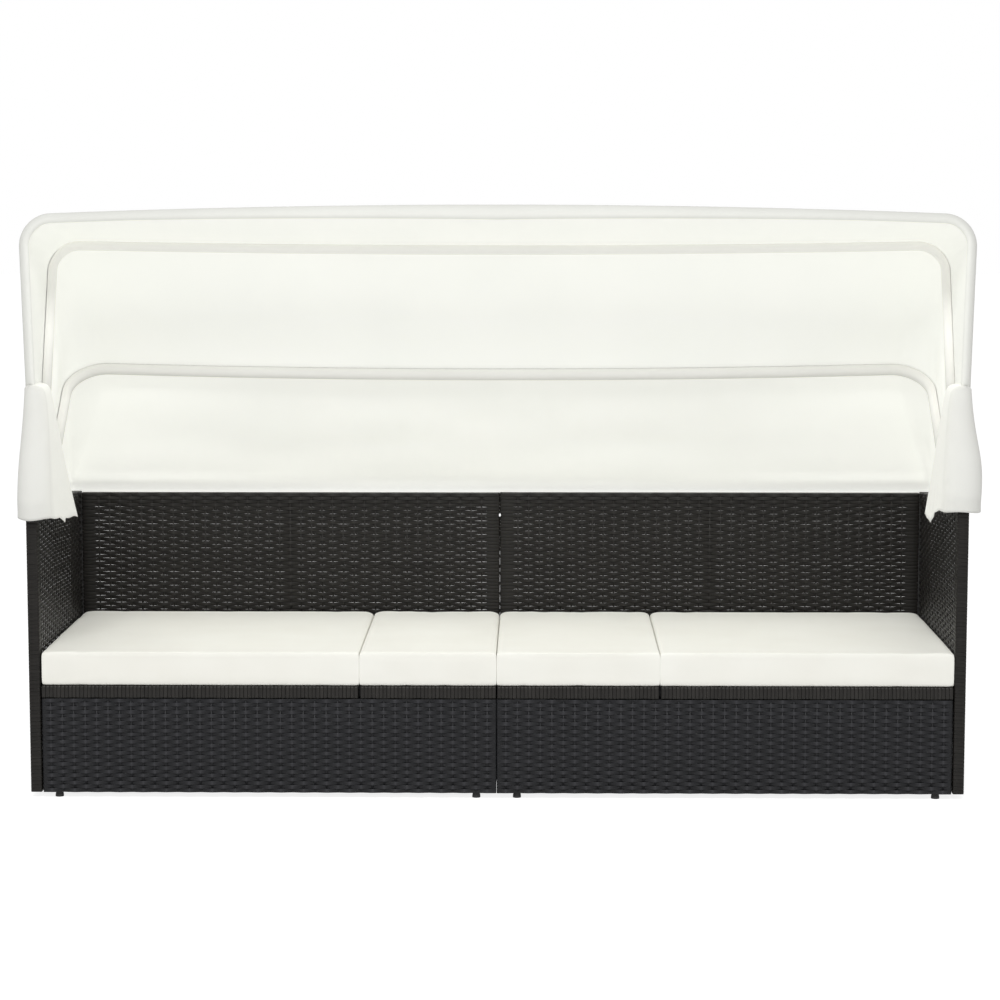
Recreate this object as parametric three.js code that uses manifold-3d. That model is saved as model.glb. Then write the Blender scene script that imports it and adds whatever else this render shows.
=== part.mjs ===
// Outdoor daybed with a folding canopy: a low woven bench made of two units side by side,
// with full-height arms, a woven back, four cushions on four seat boards, and a fabric hood
// on three bent hoops that turn about one line through both arms.
// Millimetres. X runs along the bench, Y from the front to the back, Z up.

import * as THREE from "three";
import { mergeVertices } from "three/addons/utils/BufferGeometryUtils.js";
import Module from "manifold-3d";

const wasm = await Module();
wasm.setup();

// Overall sizes
const bench_length = 1970;
const seat_depth = 565;
const base_underside = 11.8;
const base_top = 211.9;
const back_top = 585.9;
const arm_front_top = 616.4;
const arm_level_depth = 200;
const arm_rear_overhang = 2;

// Clearances
const fit_gap = 0.3;
const unit_gap = 3;
const arm_gap = 2.5;
const back_seam = 4;
const back_end_gap = 1.5;
const overrun = 20;
const merge_distance = 0.0005;

// Counts of flat sides on round pieces
const round_sides = 10;
const rod_sides = 8;
const bolt_sides = 6;
const eye_sides = 14;
const stay_corner_steps = 3;

// Woven skins
const weave_wall = 3;
const arm_thickness = 24;
const back_thickness = 25;

// Steel tubes
const base_tube = 25;
const base_tube_wall = 1.2;
const panel_tube = 25;
const panel_tube_wall = 1.2;
const arm_rail_z = 211.9;
const board_tube = 20;
const board_tube_wall = 1.2;
const drain_hole = 6;

// Seat boards, from the bench's middle outwards
const board_thickness = 28;
const board_front = 1;
const board_back_gap = 3;
const left_seam = 289;
const right_seam = 343.6;
const slat_thickness = 3;
const slat_width = 30;
const slat_pitch = 130;

// Cushions
const cushion_thickness = 70.5;
const cushion_crown = 3;
const cushion_edge_rise = 5;
const cushion_edge_round = 12;
const cushion_pull = 2.5;
const cushion_front = 2;
const cushion_back_gap = 2.5;
const cushion_seam_gap = 1.2;
const cushion_arm_gap = 2;
const cushion_cell = 56;
const cushion_side_rows = 3;
const cushion_inset_shares = [1, 0.1, 0.04, 0.55];
const cushion_height_shares = [0, 0.22, 0.8, 1];
const cushion_side_power = 4;
const cushion_corner_power = 8;

// Hinges under the raised ends
const knuckle_radius = 4;
const knuckle_gap = 0.35;
const hinge_rod_radius = 2.2;
const hinge_leaf = 2;
const hinge_end = 20;
const hinge_foot = 2;
const knuckle_count = 5;

// Support stays and the racks that they rest on
const stay_reach = 280;
const stay_drop = 14;
const stay_radius = 5;
const stay_bend = 16;
const stay_side = 62;
const stay_pin = 12;
const stay_pin_gap = 0.4;
const rack_width = 8;
const rack_inset = 60;
const rack_rest_gap = 0.5;
const notch_width = 13;
const notch_depth = 5;
const rack_end = 40;
const raise_angles = [12, 20, 28];

// Feet
const foot_inner_inset = 41.5;
const foot_outer_inset = 32;
const foot_radius = 9;
const foot_pad = 4;
const foot_neck_radius = 7.5;
const foot_stem_radius = 5;
const foot_stem = 22.4;

// Bolts
const bolt_radius = 3;
const bolt_gap = 0.5;
const bolt_head_radius = 6;
const bolt_head = 4;
const arm_bolt_z = 124.4;
const join_bolt_inset = 120;

// Canopy hoops
const pivot_y = 105;
const pivot_z = 639.4;
const hoop_radius = 8;
const hoop_wall = 1.2;
const hoop_pitch = 16.5;
const middle_hoop_inset = 15;
const hoop_eye = 9;
const hoop_eye_thickness = 5;
const hoop_tube_start = 14;
const hoop_eye_length = 28;
const front_hoop_angle = -2.3;
const front_hoop_reach = 597.5;
const front_hoop_corner = 60;
const front_hoop_rise = 18;
const front_hoop_splay = 6;
const middle_hoop_angle = 22.2;
const middle_hoop_reach = 547.5;
const middle_hoop_corner = 60;
const middle_hoop_rise = -10;
const back_hoop_angle = 52.1;
const back_hoop_reach = 370;
const back_hoop_corner = 85;
const back_hoop_rise = -18;
const corner_steps = 5;
const cross_steps = 5;
const leg_steps = 2;
const bore_sides = 6;

// Pivot brackets and bolts
const bracket_plate = 3;
const bracket_length = 64;
const bracket_ear = 12;
const bracket_side_gap = 0.6;
const pivot_bolt_radius = 4;
const pivot_bolt_gap = 0.3;
const pivot_head_radius = 8;
const pivot_head = 4.5;

// Canopy cloth
const cloth = 1.2;
const cloth_gap = 1;
const cloth_seam = 0.35;
const cloth_sag = 6;
const front_panel_start = 222;
const rear_panel_start = 120;
const rear_edge_offset = 5;
const rear_edge_lift = 4;
const rear_edge_front = 225;
const rear_edge_corner = 8;
const rear_hem_drop = 50;
const rear_hem_offset = 1.5;
const front_wrap_degrees = 190;
const front_sleeve_drop = 12;
const wrap_step = 1.5;
const turn_rows = 5;
const chord_rows = 3;
const wrap_rows = 2;

// Side boots, the loose cloth that hangs over each arm
const boot_top = 860.7;
const left_boot_hem = 586.4;
const right_boot_hem = 604.4;
const left_boot_bulge = 9;
const right_boot_bulge = 9;
const left_boot_flare = 26.5;
const right_boot_flare = 26.5;
const boot_hem_fall = 24;
const boot_top_front = 70;
const boot_top_back = 160;
const boot_hem_front = -13;
const boot_hem_back = 345;
const boot_top_inset = 25;
const boot_top_overhang = 12.2;
const boot_hem_inset = 54;
const boot_fold = 4.5;
const boot_fold_count = 5;
const boot_nose_share = 0.25;
const boot_inside_power = 0.5;
const boot_back_power = 1.6;
const boot_outside_power = 1.1;
const boot_bulge_power = 1.5;
const boot_front_speed = 1.15;
const boot_rows = 7;
const boot_columns = 22;

// What follows from the sizes above
const arm_outer = bench_length / 2;
const arm_inner = arm_outer - arm_thickness;
const unit_inner = unit_gap / 2;
const unit_outer = arm_inner - arm_gap;
const bench_depth = seat_depth + back_thickness;
const arm_depth = bench_depth + arm_rear_overhang;
const frame_front = weave_wall + fit_gap;
const frame_back = bench_depth - weave_wall - fit_gap;
const frame_top = base_top - weave_wall - fit_gap;
const board_bottom = base_top + fit_gap;
const board_top = board_bottom + board_thickness;
const board_back = seat_depth - board_back_gap;
const skin = weave_wall + fit_gap;
const board_end_gap = hinge_leaf + 2 * fit_gap;
const stay_z = board_top - stay_drop;
const rack_top = stay_z - stay_radius - rack_rest_gap;
const cloth_radius = hoop_radius + cloth_gap + cloth / 2;
const middle_hoop_x = arm_outer - middle_hoop_inset;
const front_hoop = {
  angle: front_hoop_angle,
  reach: front_hoop_reach,
  corner: front_hoop_corner,
  rise: front_hoop_rise,
  row: 1,
  splay: front_hoop_splay,
};
const middle_hoop = {
  angle: middle_hoop_angle,
  reach: middle_hoop_reach,
  corner: middle_hoop_corner,
  rise: middle_hoop_rise,
  row: 0,
  splay: 0,
};
const back_hoop = {
  angle: back_hoop_angle,
  reach: back_hoop_reach,
  corner: back_hoop_corner,
  rise: back_hoop_rise,
  row: -1,
  splay: 0,
};
const sides = [
  {
    name: "left",
    sign: -1,
    seam: left_seam,
    boot_hem: left_boot_hem,
    boot_bulge: left_boot_bulge,
    boot_flare: left_boot_flare,
  },
  {
    name: "right",
    sign: 1,
    seam: right_seam,
    boot_hem: right_boot_hem,
    boot_bulge: right_boot_bulge,
    boot_flare: right_boot_flare,
  },
];
const radians = THREE.MathUtils.degToRad;

// Finishes
const finish = (color, roughness, metalness) =>
  new THREE.MeshStandardMaterial({ color, roughness, metalness });
const rattan = finish(0x2a2a2c, 0.55, 0);
const steel = finish(0x1d1d1f, 0.45, 0.6);
const zinc = finish(0xb9babc, 0.35, 0.9);
const plastic = finish(0x161616, 0.6, 0);
const cushion_cloth = finish(0xf1efe8, 0.9, 0);
const canopy_cloth = finish(0xf3f3ec, 0.95, 0);

const daybed = new THREE.Group();

// A closed geometry as a solid that can be joined and cut.
function solid(geometry) {
  const bare = geometry.clone();
  bare.deleteAttribute("normal");
  bare.deleteAttribute("uv");
  const merged = mergeVertices(bare, merge_distance);
  const corners = merged.index.array;
  const kept = [];
  for (let i = 0; i < corners.length; i += 3) {
    const [a, b, c] = [corners[i], corners[i + 1], corners[i + 2]];
    if (a !== b && b !== c && c !== a) kept.push(a, b, c);
  }
  const vertProperties = new Float32Array(merged.attributes.position.array);
  const triVerts = new Uint32Array(kept);
  return new wasm.Manifold(new wasm.Mesh({ numProp: 3, vertProperties, triVerts }));
}

function geometryOf(shape) {
  const { vertProperties, triVerts } = shape.getMesh();
  const geometry = new THREE.BufferGeometry();
  geometry.setAttribute("position", new THREE.BufferAttribute(vertProperties, 3));
  geometry.setIndex(new THREE.BufferAttribute(triVerts, 1));
  const flat = geometry.toNonIndexed();
  flat.computeVertexNormals();
  return flat;
}

function place(name, shape, material) {
  const mesh = new THREE.Mesh(geometryOf(shape), material);
  mesh.name = name;
  daybed.add(mesh);
  return mesh;
}

const joined = (shapes) => shapes.reduce((all, next) => all.add(next));
const cut = (shape, tools) => tools.reduce((left, tool) => left.subtract(tool), shape);
const ordered = (a, b) => [Math.min(a, b), Math.max(a, b)];
const mirrored = (side, a, b) => ordered(side.sign * a, side.sign * b);
const grown = ([low, high], by) => [low - by, high + by];

// A rectangular block between three pairs of limits.
function block(x, y, z) {
  const geometry = new THREE.BoxGeometry(x[1] - x[0], y[1] - y[0], z[1] - z[0]);
  geometry.translate((x[0] + x[1]) / 2, (y[0] + y[1]) / 2, (z[0] + z[1]) / 2);
  return solid(geometry);
}

// An outline in the YZ plane, extruded along X between two limits.
function slab(outline, x) {
  const shape = new THREE.Shape(outline.map(([y, z]) => new THREE.Vector2(y, z)));
  const geometry = new THREE.ExtrudeGeometry(shape, { depth: x[1] - x[0], bevelEnabled: false });
  const turn = new THREE.Matrix4().makeBasis(
    new THREE.Vector3(0, 1, 0),
    new THREE.Vector3(0, 0, 1),
    new THREE.Vector3(1, 0, 0),
  );
  geometry.applyMatrix4(turn);
  geometry.translate(x[0], 0, 0);
  return solid(geometry);
}

// A round bar along one axis, between two limits on that axis.
function bar(axis, centre, radius, span, segments = round_sides) {
  const geometry = new THREE.CylinderGeometry(radius, radius, span[1] - span[0], segments);
  if (axis === "x") geometry.rotateZ(-Math.PI / 2);
  if (axis === "z") geometry.rotateX(Math.PI / 2);
  const middle = (span[0] + span[1]) / 2;
  const at = { x: [middle, ...centre], y: [centre[0], middle, centre[1]], z: [...centre, middle] }[axis];
  geometry.translate(...at);
  return solid(geometry);
}

// A turned piece along one axis: radius and place pairs, closed on the axis at both ends.
function turned(axis, profile, centre, segments = round_sides) {
  const points = profile.map(([radius, along]) => new THREE.Vector2(radius, along));
  const geometry = new THREE.LatheGeometry(points, segments);
  if (axis === "x") geometry.rotateZ(-Math.PI / 2);
  if (axis === "z") geometry.rotateX(Math.PI / 2);
  geometry.translate(...centre);
  return solid(geometry);
}

// Square tubes welded together: the bars joined, less their joined bores.
function welded(bars, wall) {
  const shrink = (span) => grown(span, -wall);
  const outside = joined(bars.map((b) => block(...b)));
  const bores = joined(bars.map((b) => block(...b.map(shrink))));
  return outside.subtract(bores);
}

// Base units

function rackShape(side, y) {
  const seam_bar = side.seam + base_tube / 2;
  const low = block(
    mirrored(side, seam_bar, unit_outer - base_tube),
    grown([y, y], rack_width / 2),
    [frame_top - base_tube, frame_top],
  );
  const teeth = block(
    mirrored(side, side.seam + rack_end, unit_outer - rack_end),
    grown([y, y], rack_width / 2),
    [frame_top - base_tube, rack_top],
  );
  const notches = raise_angles.map((angle) => {
    const x = side.seam + 2 * stay_reach * Math.cos(radians(angle));
    return block(
      mirrored(side, x - notch_width / 2, x + notch_width / 2),
      grown([y, y], rack_width),
      [rack_top - notch_depth, rack_top + overrun],
    );
  });
  return low.add(cut(teeth, notches));
}

function baseFrame(side) {
  const ends = [
    mirrored(side, unit_inner, unit_inner + base_tube),
    mirrored(side, unit_outer - base_tube, unit_outer),
  ];
  const rows = [
    [frame_front, frame_front + base_tube],
    [frame_back - base_tube, frame_back],
  ];
  const full_x = mirrored(side, unit_inner, unit_outer);
  const full_y = [frame_front, frame_back];
  const full_z = [base_underside, frame_top];
  const levels = [
    [base_underside, base_underside + base_tube],
    [frame_top - base_tube, frame_top],
  ];
  const seam_x = mirrored(side, side.seam - base_tube / 2, side.seam + base_tube / 2);
  const bars = [[seam_x, full_y, levels[1]]];
  for (const x of ends) for (const y of rows) bars.push([x, y, full_z]);
  for (const z of levels) {
    for (const y of rows) bars.push([full_x, y, z]);
    for (const x of ends) bars.push([x, full_y, z]);
  }
  const racks = [seat_depth - rack_inset, rack_inset].map((y) => rackShape(side, y + board_front));
  return joined([welded(bars, base_tube_wall), ...racks]);
}

const rail_rows = [frame_front + base_tube / 2, frame_back - base_tube / 2];
const join_rows = [join_bolt_inset, bench_depth - join_bolt_inset];
const join_z = frame_top - base_tube / 2;

for (const side of sides) {
  const foot_columns = [unit_inner + foot_inner_inset, unit_outer - foot_outer_inset];
  const foot_holes = foot_columns.flatMap((x) =>
    rail_rows.map((y) =>
      bar("z", [side.sign * x, y], foot_stem_radius + fit_gap, [
        base_underside - overrun,
        base_underside + base_tube / 2,
      ]),
    ),
  );
  const arm_hole_span = mirrored(side, unit_outer - base_tube - overrun, arm_outer);
  const arm_holes = rail_rows.map((y) =>
    bar("x", [y, arm_bolt_z], bolt_radius + bolt_gap, arm_hole_span),
  );
  const join_holes = join_rows.map((y) =>
    bar("x", [y, join_z], bolt_radius + bolt_gap, mirrored(side, -overrun, unit_inner + base_tube + overrun)),
  );
  place(`base_frame_${side.name}`, cut(baseFrame(side), [...foot_holes, ...arm_holes, ...join_holes]), steel);

  // Woven front and rear skins, bent over the top rails.
  const skin_x = mirrored(side, unit_inner, unit_outer);
  const lip_z = [base_top - weave_wall, base_top];
  const lip_depth = weave_wall + fit_gap + base_tube;
  const front = block(skin_x, [0, weave_wall], [base_underside, base_top]);
  const front_lip = block(skin_x, [0, lip_depth], lip_z);
  place(`front_weave_${side.name}`, front.add(front_lip), rattan);
  const rear = block(skin_x, [bench_depth - weave_wall, bench_depth], [base_underside, base_top]);
  const rear_lip = block(skin_x, [bench_depth - lip_depth, bench_depth], lip_z);
  place(`rear_weave_${side.name}`, rear.add(rear_lip), rattan);

  // Feet screwed up into the bottom rails.
  const foot_profile = [
    [0, 0],
    [foot_radius, 0],
    [foot_radius, foot_pad],
    [foot_neck_radius, base_underside - fit_gap],
    [foot_stem_radius, base_underside - fit_gap],
    [foot_stem_radius, foot_stem],
    [0, foot_stem],
  ];
  const column_names = ["inner", "outer"];
  const row_names = ["front", "rear"];
  foot_columns.forEach((x, i) =>
    rail_rows.forEach((y, j) => {
      const name = `foot_${side.name}_${row_names[j]}_${column_names[i]}`;
      place(name, turned("z", foot_profile, [side.sign * x, y, 0]), plastic);
    }),
  );
}

// Arms: a welded ring with a rail at seat height, wrapped in weave

const arm_fall = arm_front_top - back_top;
const arm_slope = arm_fall / (arm_depth - arm_level_depth);
const arm_slope_length = Math.hypot(1, arm_slope);

function armTopAt(y) {
  return arm_front_top - arm_slope * Math.max(0, y - arm_level_depth);
}

// The arm's side outline, moved in from its edge by a distance.
function armOutline(inset) {
  const knee = arm_level_depth - (inset * (arm_slope_length - 1)) / arm_slope;
  const back = arm_depth - inset;
  return [
    [inset, base_underside + inset],
    [back, base_underside + inset],
    [back, armTopAt(back) - inset * arm_slope_length],
    [knee, arm_front_top - inset],
    [inset, arm_front_top - inset],
  ];
}

for (const side of sides) {
  const tube_x = mirrored(side, arm_inner + skin, arm_outer - skin);
  const bore_x = grown(tube_x, -panel_tube_wall);
  const rail_y = [skin, arm_depth - skin];
  const rail_z = [arm_rail_z - panel_tube / 2, arm_rail_z + panel_tube / 2];
  const ring = slab(armOutline(skin), tube_x).subtract(
    slab(armOutline(skin + panel_tube), grown(tube_x, overrun)),
  );
  const bore = slab(armOutline(skin + panel_tube_wall), bore_x).subtract(
    slab(armOutline(skin + panel_tube - panel_tube_wall), grown(bore_x, overrun)),
  );
  const rail = block(tube_x, rail_y, rail_z);
  const rail_bore = block(bore_x, grown(rail_y, -panel_tube_wall), grown(rail_z, -panel_tube_wall));
  const drain = bar("z", [(tube_x[0] + tube_x[1]) / 2, arm_depth / 2], drain_hole / 2, [
    base_underside - overrun,
    base_underside + skin + panel_tube / 2,
  ]);
  const bolt_holes = rail_rows.map((y) =>
    bar(
      "x",
      [y, arm_bolt_z],
      bolt_radius + bolt_gap,
      mirrored(side, arm_inner - overrun, arm_inner + arm_thickness / 2),
    ),
  );
  place(`arm_frame_${side.name}`, cut(ring.add(rail), [bore, rail_bore, drain, ...bolt_holes]), steel);

  const whole = slab(armOutline(0), mirrored(side, arm_inner, arm_outer));
  const pocket = slab(armOutline(weave_wall), mirrored(side, arm_inner + weave_wall, arm_outer - weave_wall));
  const window = slab(
    armOutline(weave_wall + panel_tube),
    mirrored(side, arm_inner + weave_wall, arm_outer + overrun),
  );
  place(`arm_weave_${side.name}`, cut(whole, [pocket, window, drain, ...bolt_holes]), rattan);

  // Bolts from inside the base into each arm.
  const bolt_start = unit_outer - base_tube - fit_gap;
  const bolt_tip = arm_inner + arm_thickness / 2 - bolt_gap;
  const bolt_profile = [
    [0, bolt_start - bolt_head],
    [bolt_head_radius, bolt_start - bolt_head],
    [bolt_head_radius, bolt_start],
    [bolt_radius, bolt_start],
    [bolt_radius, bolt_tip],
    [0, bolt_tip],
  ];
  rail_rows.forEach((y, i) => {
    const along = bolt_profile.map(([r, x]) => [r, side.sign * x]);
    const profile = side.sign > 0 ? along : along.reverse();
    const bolt = turned("x", profile, [0, y, arm_bolt_z], bolt_sides);
    place(`arm_bolt_${side.name}_${["front", "rear"][i]}`, bolt, zinc);
  });
}

// Bolts that hold the two units together
join_rows.forEach((y, i) => {
  const grip = unit_inner + base_tube + fit_gap;
  const profile = [
    [0, -grip - bolt_head],
    [bolt_head_radius, -grip - bolt_head],
    [bolt_head_radius, -grip],
    [bolt_radius, -grip],
    [bolt_radius, grip],
    [bolt_head_radius, grip],
    [bolt_head_radius, grip + bolt_head],
    [0, grip + bolt_head],
  ];
  place(`join_bolt_${["front", "rear"][i]}`, turned("x", profile, [0, y, join_z], bolt_sides), zinc);
});

// Back panels: a welded ring with a middle post, wrapped in weave

for (const side of sides) {
  const x = mirrored(side, back_seam / 2, arm_inner - back_end_gap);
  const y = [seat_depth, bench_depth];
  const z = [base_top + fit_gap, back_top];
  const tube = [grown(x, -skin), grown(y, -skin), grown(z, -skin)];
  const middle = (x[0] + x[1]) / 2;
  const bars = [
    [[tube[0][0], tube[0][0] + panel_tube], tube[1], tube[2]],
    [[tube[0][1] - panel_tube, tube[0][1]], tube[1], tube[2]],
    [[middle - panel_tube / 2, middle + panel_tube / 2], tube[1], tube[2]],
    [tube[0], tube[1], [tube[2][0], tube[2][0] + panel_tube]],
    [tube[0], tube[1], [tube[2][1] - panel_tube, tube[2][1]]],
  ];
  const drain_span = [z[0] - overrun, z[0] + skin + panel_tube / 2];
  const drain = bar("z", [middle, (y[0] + y[1]) / 2], drain_hole / 2, drain_span);
  place(`back_frame_${side.name}`, welded(bars, panel_tube_wall).subtract(drain), steel);

  const pocket = block(grown(x, -weave_wall), grown(y, -weave_wall), grown(z, -weave_wall));
  const lip = -(weave_wall + panel_tube);
  const window = block(grown(x, lip), [y[0] + weave_wall, y[1] + overrun], grown(z, lip));
  place(`back_weave_${side.name}`, cut(block(x, y, z), [pocket, window, drain]), rattan);
}

// Seat boards, hinges and stays

const knuckle_start = board_front + hinge_end;
const knuckle_end = board_back - hinge_end;
const knuckle_length = (knuckle_end - knuckle_start) / knuckle_count;

function boardPieces(side, name, near, far, cuts, pins) {
  const x = mirrored(side, near, far);
  const y = [board_front, board_back];
  const z = [board_bottom, board_top];
  const tube = [grown(x, -skin), grown(y, -skin), grown(z, -skin)];
  const bars = [
    [[tube[0][0], tube[0][0] + board_tube], tube[1], tube[2]],
    [[tube[0][1] - board_tube, tube[0][1]], tube[1], tube[2]],
    [tube[0], [tube[1][0], tube[1][0] + board_tube], tube[2]],
    [tube[0], [tube[1][1] - board_tube, tube[1][1]], tube[2]],
  ];
  const bays = Math.round((tube[0][1] - tube[0][0]) / slat_pitch);
  const slats = [];
  for (let i = 1; i < bays; i++) {
    const at = tube[0][0] + ((tube[0][1] - tube[0][0]) * i) / bays;
    slats.push(block(grown([at, at], slat_width / 2), grown(tube[1], -board_tube / 2), [
      tube[2][1] - slat_thickness,
      tube[2][1] - fit_gap,
    ]));
  }
  const drain = bar("z", [(x[0] + x[1]) / 2, tube[1][0] + board_tube / 2], drain_hole / 2, [
    z[0] - overrun,
    z[0] + skin + board_tube / 2,
  ]);
  const frame = cut(joined([welded(bars, board_tube_wall), ...slats]), [drain, ...pins]);
  place(`board_frame_${name}`, frame, steel);

  const pocket = block(grown(x, -weave_wall), grown(y, -weave_wall), grown(z, -weave_wall));
  const lip = -(weave_wall + board_tube);
  const window = block(grown(x, lip), grown(y, lip), [z[0] - overrun, z[1] - weave_wall]);
  place(`board_weave_${name}`, cut(block(x, y, z), [pocket, window, drain, ...cuts]), rattan);
}

// One leaf of a long hinge: a plate below the axis and every second knuckle.
function hingeLeaf(side, outward, first) {
  const face = side.seam + outward * fit_gap;
  const plate = block(mirrored(side, face, face + outward * hinge_leaf), [knuckle_start, knuckle_end], [
    board_bottom + hinge_foot,
    board_top,
  ]);
  const centre = [side.sign * side.seam, board_top];
  const own = [];
  const others = [];
  for (let i = 0; i < knuckle_count; i++) {
    const span = [knuckle_start + i * knuckle_length, knuckle_start + (i + 1) * knuckle_length];
    if (i % 2 === first) own.push(bar("y", centre, knuckle_radius, grown(span, -knuckle_gap / 2)));
    else others.push(bar("y", centre, knuckle_radius + knuckle_gap, grown(span, knuckle_gap / 2)));
  }
  const bore_span = grown([knuckle_start, knuckle_end], overrun);
  const bore = bar("y", centre, hinge_rod_radius + fit_gap, bore_span, rod_sides);
  return cut(joined([cut(plate, others), ...own]), [bore]);
}

// A path through given stations, for extruding a bent rod or tube.
class StationPath extends THREE.Curve {
  constructor(stations) {
    super();
    this.stations = stations;
  }
  getPointAt(share) {
    return this.stations[Math.round(share * (this.stations.length - 1))].point.clone();
  }
  getTangentAt(share) {
    return this.stations[Math.round(share * (this.stations.length - 1))].tangent.clone();
  }
}

// A rod, or a tube with a six-sided bore, carried along stations.
function bent(stations, radius, wall, segments) {
  const shape = new THREE.Shape();
  const ring = (r, count) => {
    const points = [];
    for (let i = 0; i < count; i++) {
      const angle = (2 * Math.PI * i) / count;
      points.push(new THREE.Vector2(r * Math.cos(angle), r * Math.sin(angle)));
    }
    return points;
  };
  shape.setFromPoints(ring(radius, segments));
  if (wall) shape.holes.push(new THREE.Path(ring(radius - wall, bore_sides)));
  const options = { steps: stations.length - 1, extrudePath: new StationPath(stations), bevelEnabled: false };
  return solid(new THREE.ExtrudeGeometry(shape, options));
}

// Stations along a polyline of 3-D points with its corners rounded.
function roundedStations(points, radius, steps) {
  const stations = [];
  const last = points.length - 1;
  const direction = (i) => points[i + 1].clone().sub(points[i]).normalize();
  stations.push({ point: points[0].clone(), tangent: direction(0) });
  for (let i = 1; i < last; i++) {
    const before = direction(i - 1);
    const after = direction(i);
    for (let k = 0; k <= steps; k++) {
      const angle = (Math.PI / 2) * (k / steps);
      const point = points[i].clone();
      point.addScaledVector(before, -radius * (1 - Math.sin(angle)));
      point.addScaledVector(after, radius * (1 - Math.cos(angle)));
      const tangent = before.clone().multiplyScalar(Math.cos(angle)).addScaledVector(after, Math.sin(angle));
      stations.push({ point, tangent });
    }
  }
  stations.push({ point: points[last].clone(), tangent: direction(last - 1) });
  return stations;
}

for (const side of sides) {
  const seam = side.sign * side.seam;
  const groove_radius = knuckle_radius + knuckle_gap + fit_gap;
  const groove = bar("y", [seam, board_top], groove_radius, grown([board_front, board_back], overrun));
  const pin_x = side.sign * (side.seam + stay_reach);
  const rail_inner = board_front + skin + board_tube;
  const rail_outer = board_back - skin - board_tube;
  const pin_radius = stay_radius + stay_pin_gap;
  const pins = [
    bar("y", [pin_x, stay_z], pin_radius, [rail_inner - stay_pin - fit_gap, rail_inner + overrun]),
    bar("y", [pin_x, stay_z], pin_radius, [rail_outer - overrun, rail_outer + stay_pin + fit_gap]),
  ];
  boardPieces(side, `seat_${side.name}`, unit_inner, side.seam - board_end_gap, [groove], []);
  boardPieces(side, `backrest_${side.name}`, side.seam + board_end_gap, unit_outer, [groove], pins);

  place(`hinge_leaf_fixed_${side.name}`, hingeLeaf(side, -1, 0), zinc);
  place(`hinge_leaf_moving_${side.name}`, hingeLeaf(side, 1, 1), zinc);
  const rod = bar("y", [seam, board_top], hinge_rod_radius, [knuckle_start, knuckle_end], rod_sides);
  place(`hinge_rod_${side.name}`, rod, zinc);

  const foot_x = side.sign * (side.seam + 2 * stay_reach);
  const corners = [
    [pin_x, rail_inner - stay_pin],
    [pin_x, stay_side],
    [foot_x, stay_side],
    [foot_x, seat_depth - stay_side],
    [pin_x, seat_depth - stay_side],
    [pin_x, rail_outer + stay_pin],
  ].map(([x, y]) => new THREE.Vector3(x, y, stay_z));
  const stay_stations = roundedStations(corners, stay_bend, stay_corner_steps);
  place(`support_stay_${side.name}`, bent(stay_stations, stay_radius, 0, rod_sides), steel);
}

// Cushions

// A boxed pad: edges rounded top and bottom, sides drawn in between the corners, and a low crown.
function cushionShape(x, y, z) {
  const half = [(x[1] - x[0]) / 2, (y[1] - y[0]) / 2];
  const centre = [(x[0] + x[1]) / 2, (y[0] + y[1]) / 2];
  const cells = half.map((h) => Math.round((2 * h) / cushion_cell));
  const height = z[1] - z[0];
  const edge_height = height - cushion_crown - cushion_edge_rise;
  const geometry = new THREE.BoxGeometry(2, 2, 1, cells[0], cells[1], cushion_side_rows);
  const position = geometry.attributes.position;
  for (let i = 0; i < position.count; i++) {
    const u = Math.sin((Math.PI / 2) * position.getX(i));
    const v = Math.sin((Math.PI / 2) * position.getY(i));
    const row = Math.round((position.getZ(i) + 0.5) * cushion_side_rows);
    const inset = cushion_edge_round * cushion_inset_shares[row];
    const px = u * (half[0] - inset - cushion_pull * (1 - v ** cushion_side_power));
    const py = v * (half[1] - inset - cushion_pull * (1 - u ** cushion_side_power));
    let pz = edge_height * cushion_height_shares[row];
    if (row === cushion_side_rows) {
      const flatness = (1 - u ** cushion_corner_power) * (1 - v ** cushion_corner_power);
      pz += cushion_edge_rise * Math.sqrt(Math.max(0, flatness));
      pz += cushion_crown * (1 - u * u) * (1 - v * v);
    }
    position.setXYZ(i, centre[0] + px, centre[1] + py, z[0] + pz);
  }
  return solid(geometry);
}

for (const side of sides) {
  const y = [cushion_front, seat_depth - cushion_back_gap];
  const z = [board_top + fit_gap, board_top + fit_gap + cushion_thickness];
  const seat_x = mirrored(side, cushion_seam_gap / 2, side.seam - cushion_seam_gap / 2);
  const rest_x = mirrored(side, side.seam + cushion_seam_gap / 2, arm_inner - cushion_arm_gap);
  place(`cushion_seat_${side.name}`, cushionShape(seat_x, y, z), cushion_cloth);
  place(`cushion_backrest_${side.name}`, cushionShape(rest_x, y, z), cushion_cloth);
}

// Canopy hoops

const legX = (hoop) => middle_hoop_x + hoop.row * hoop_pitch;

// A point of a hoop's own plane, given by its X and its distance from the pivot line.
function hoopPoint(hoop, x, distance) {
  const angle = radians(hoop.angle);
  return new THREE.Vector3(x, pivot_y + distance * Math.sin(angle), pivot_z + distance * Math.cos(angle));
}

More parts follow.
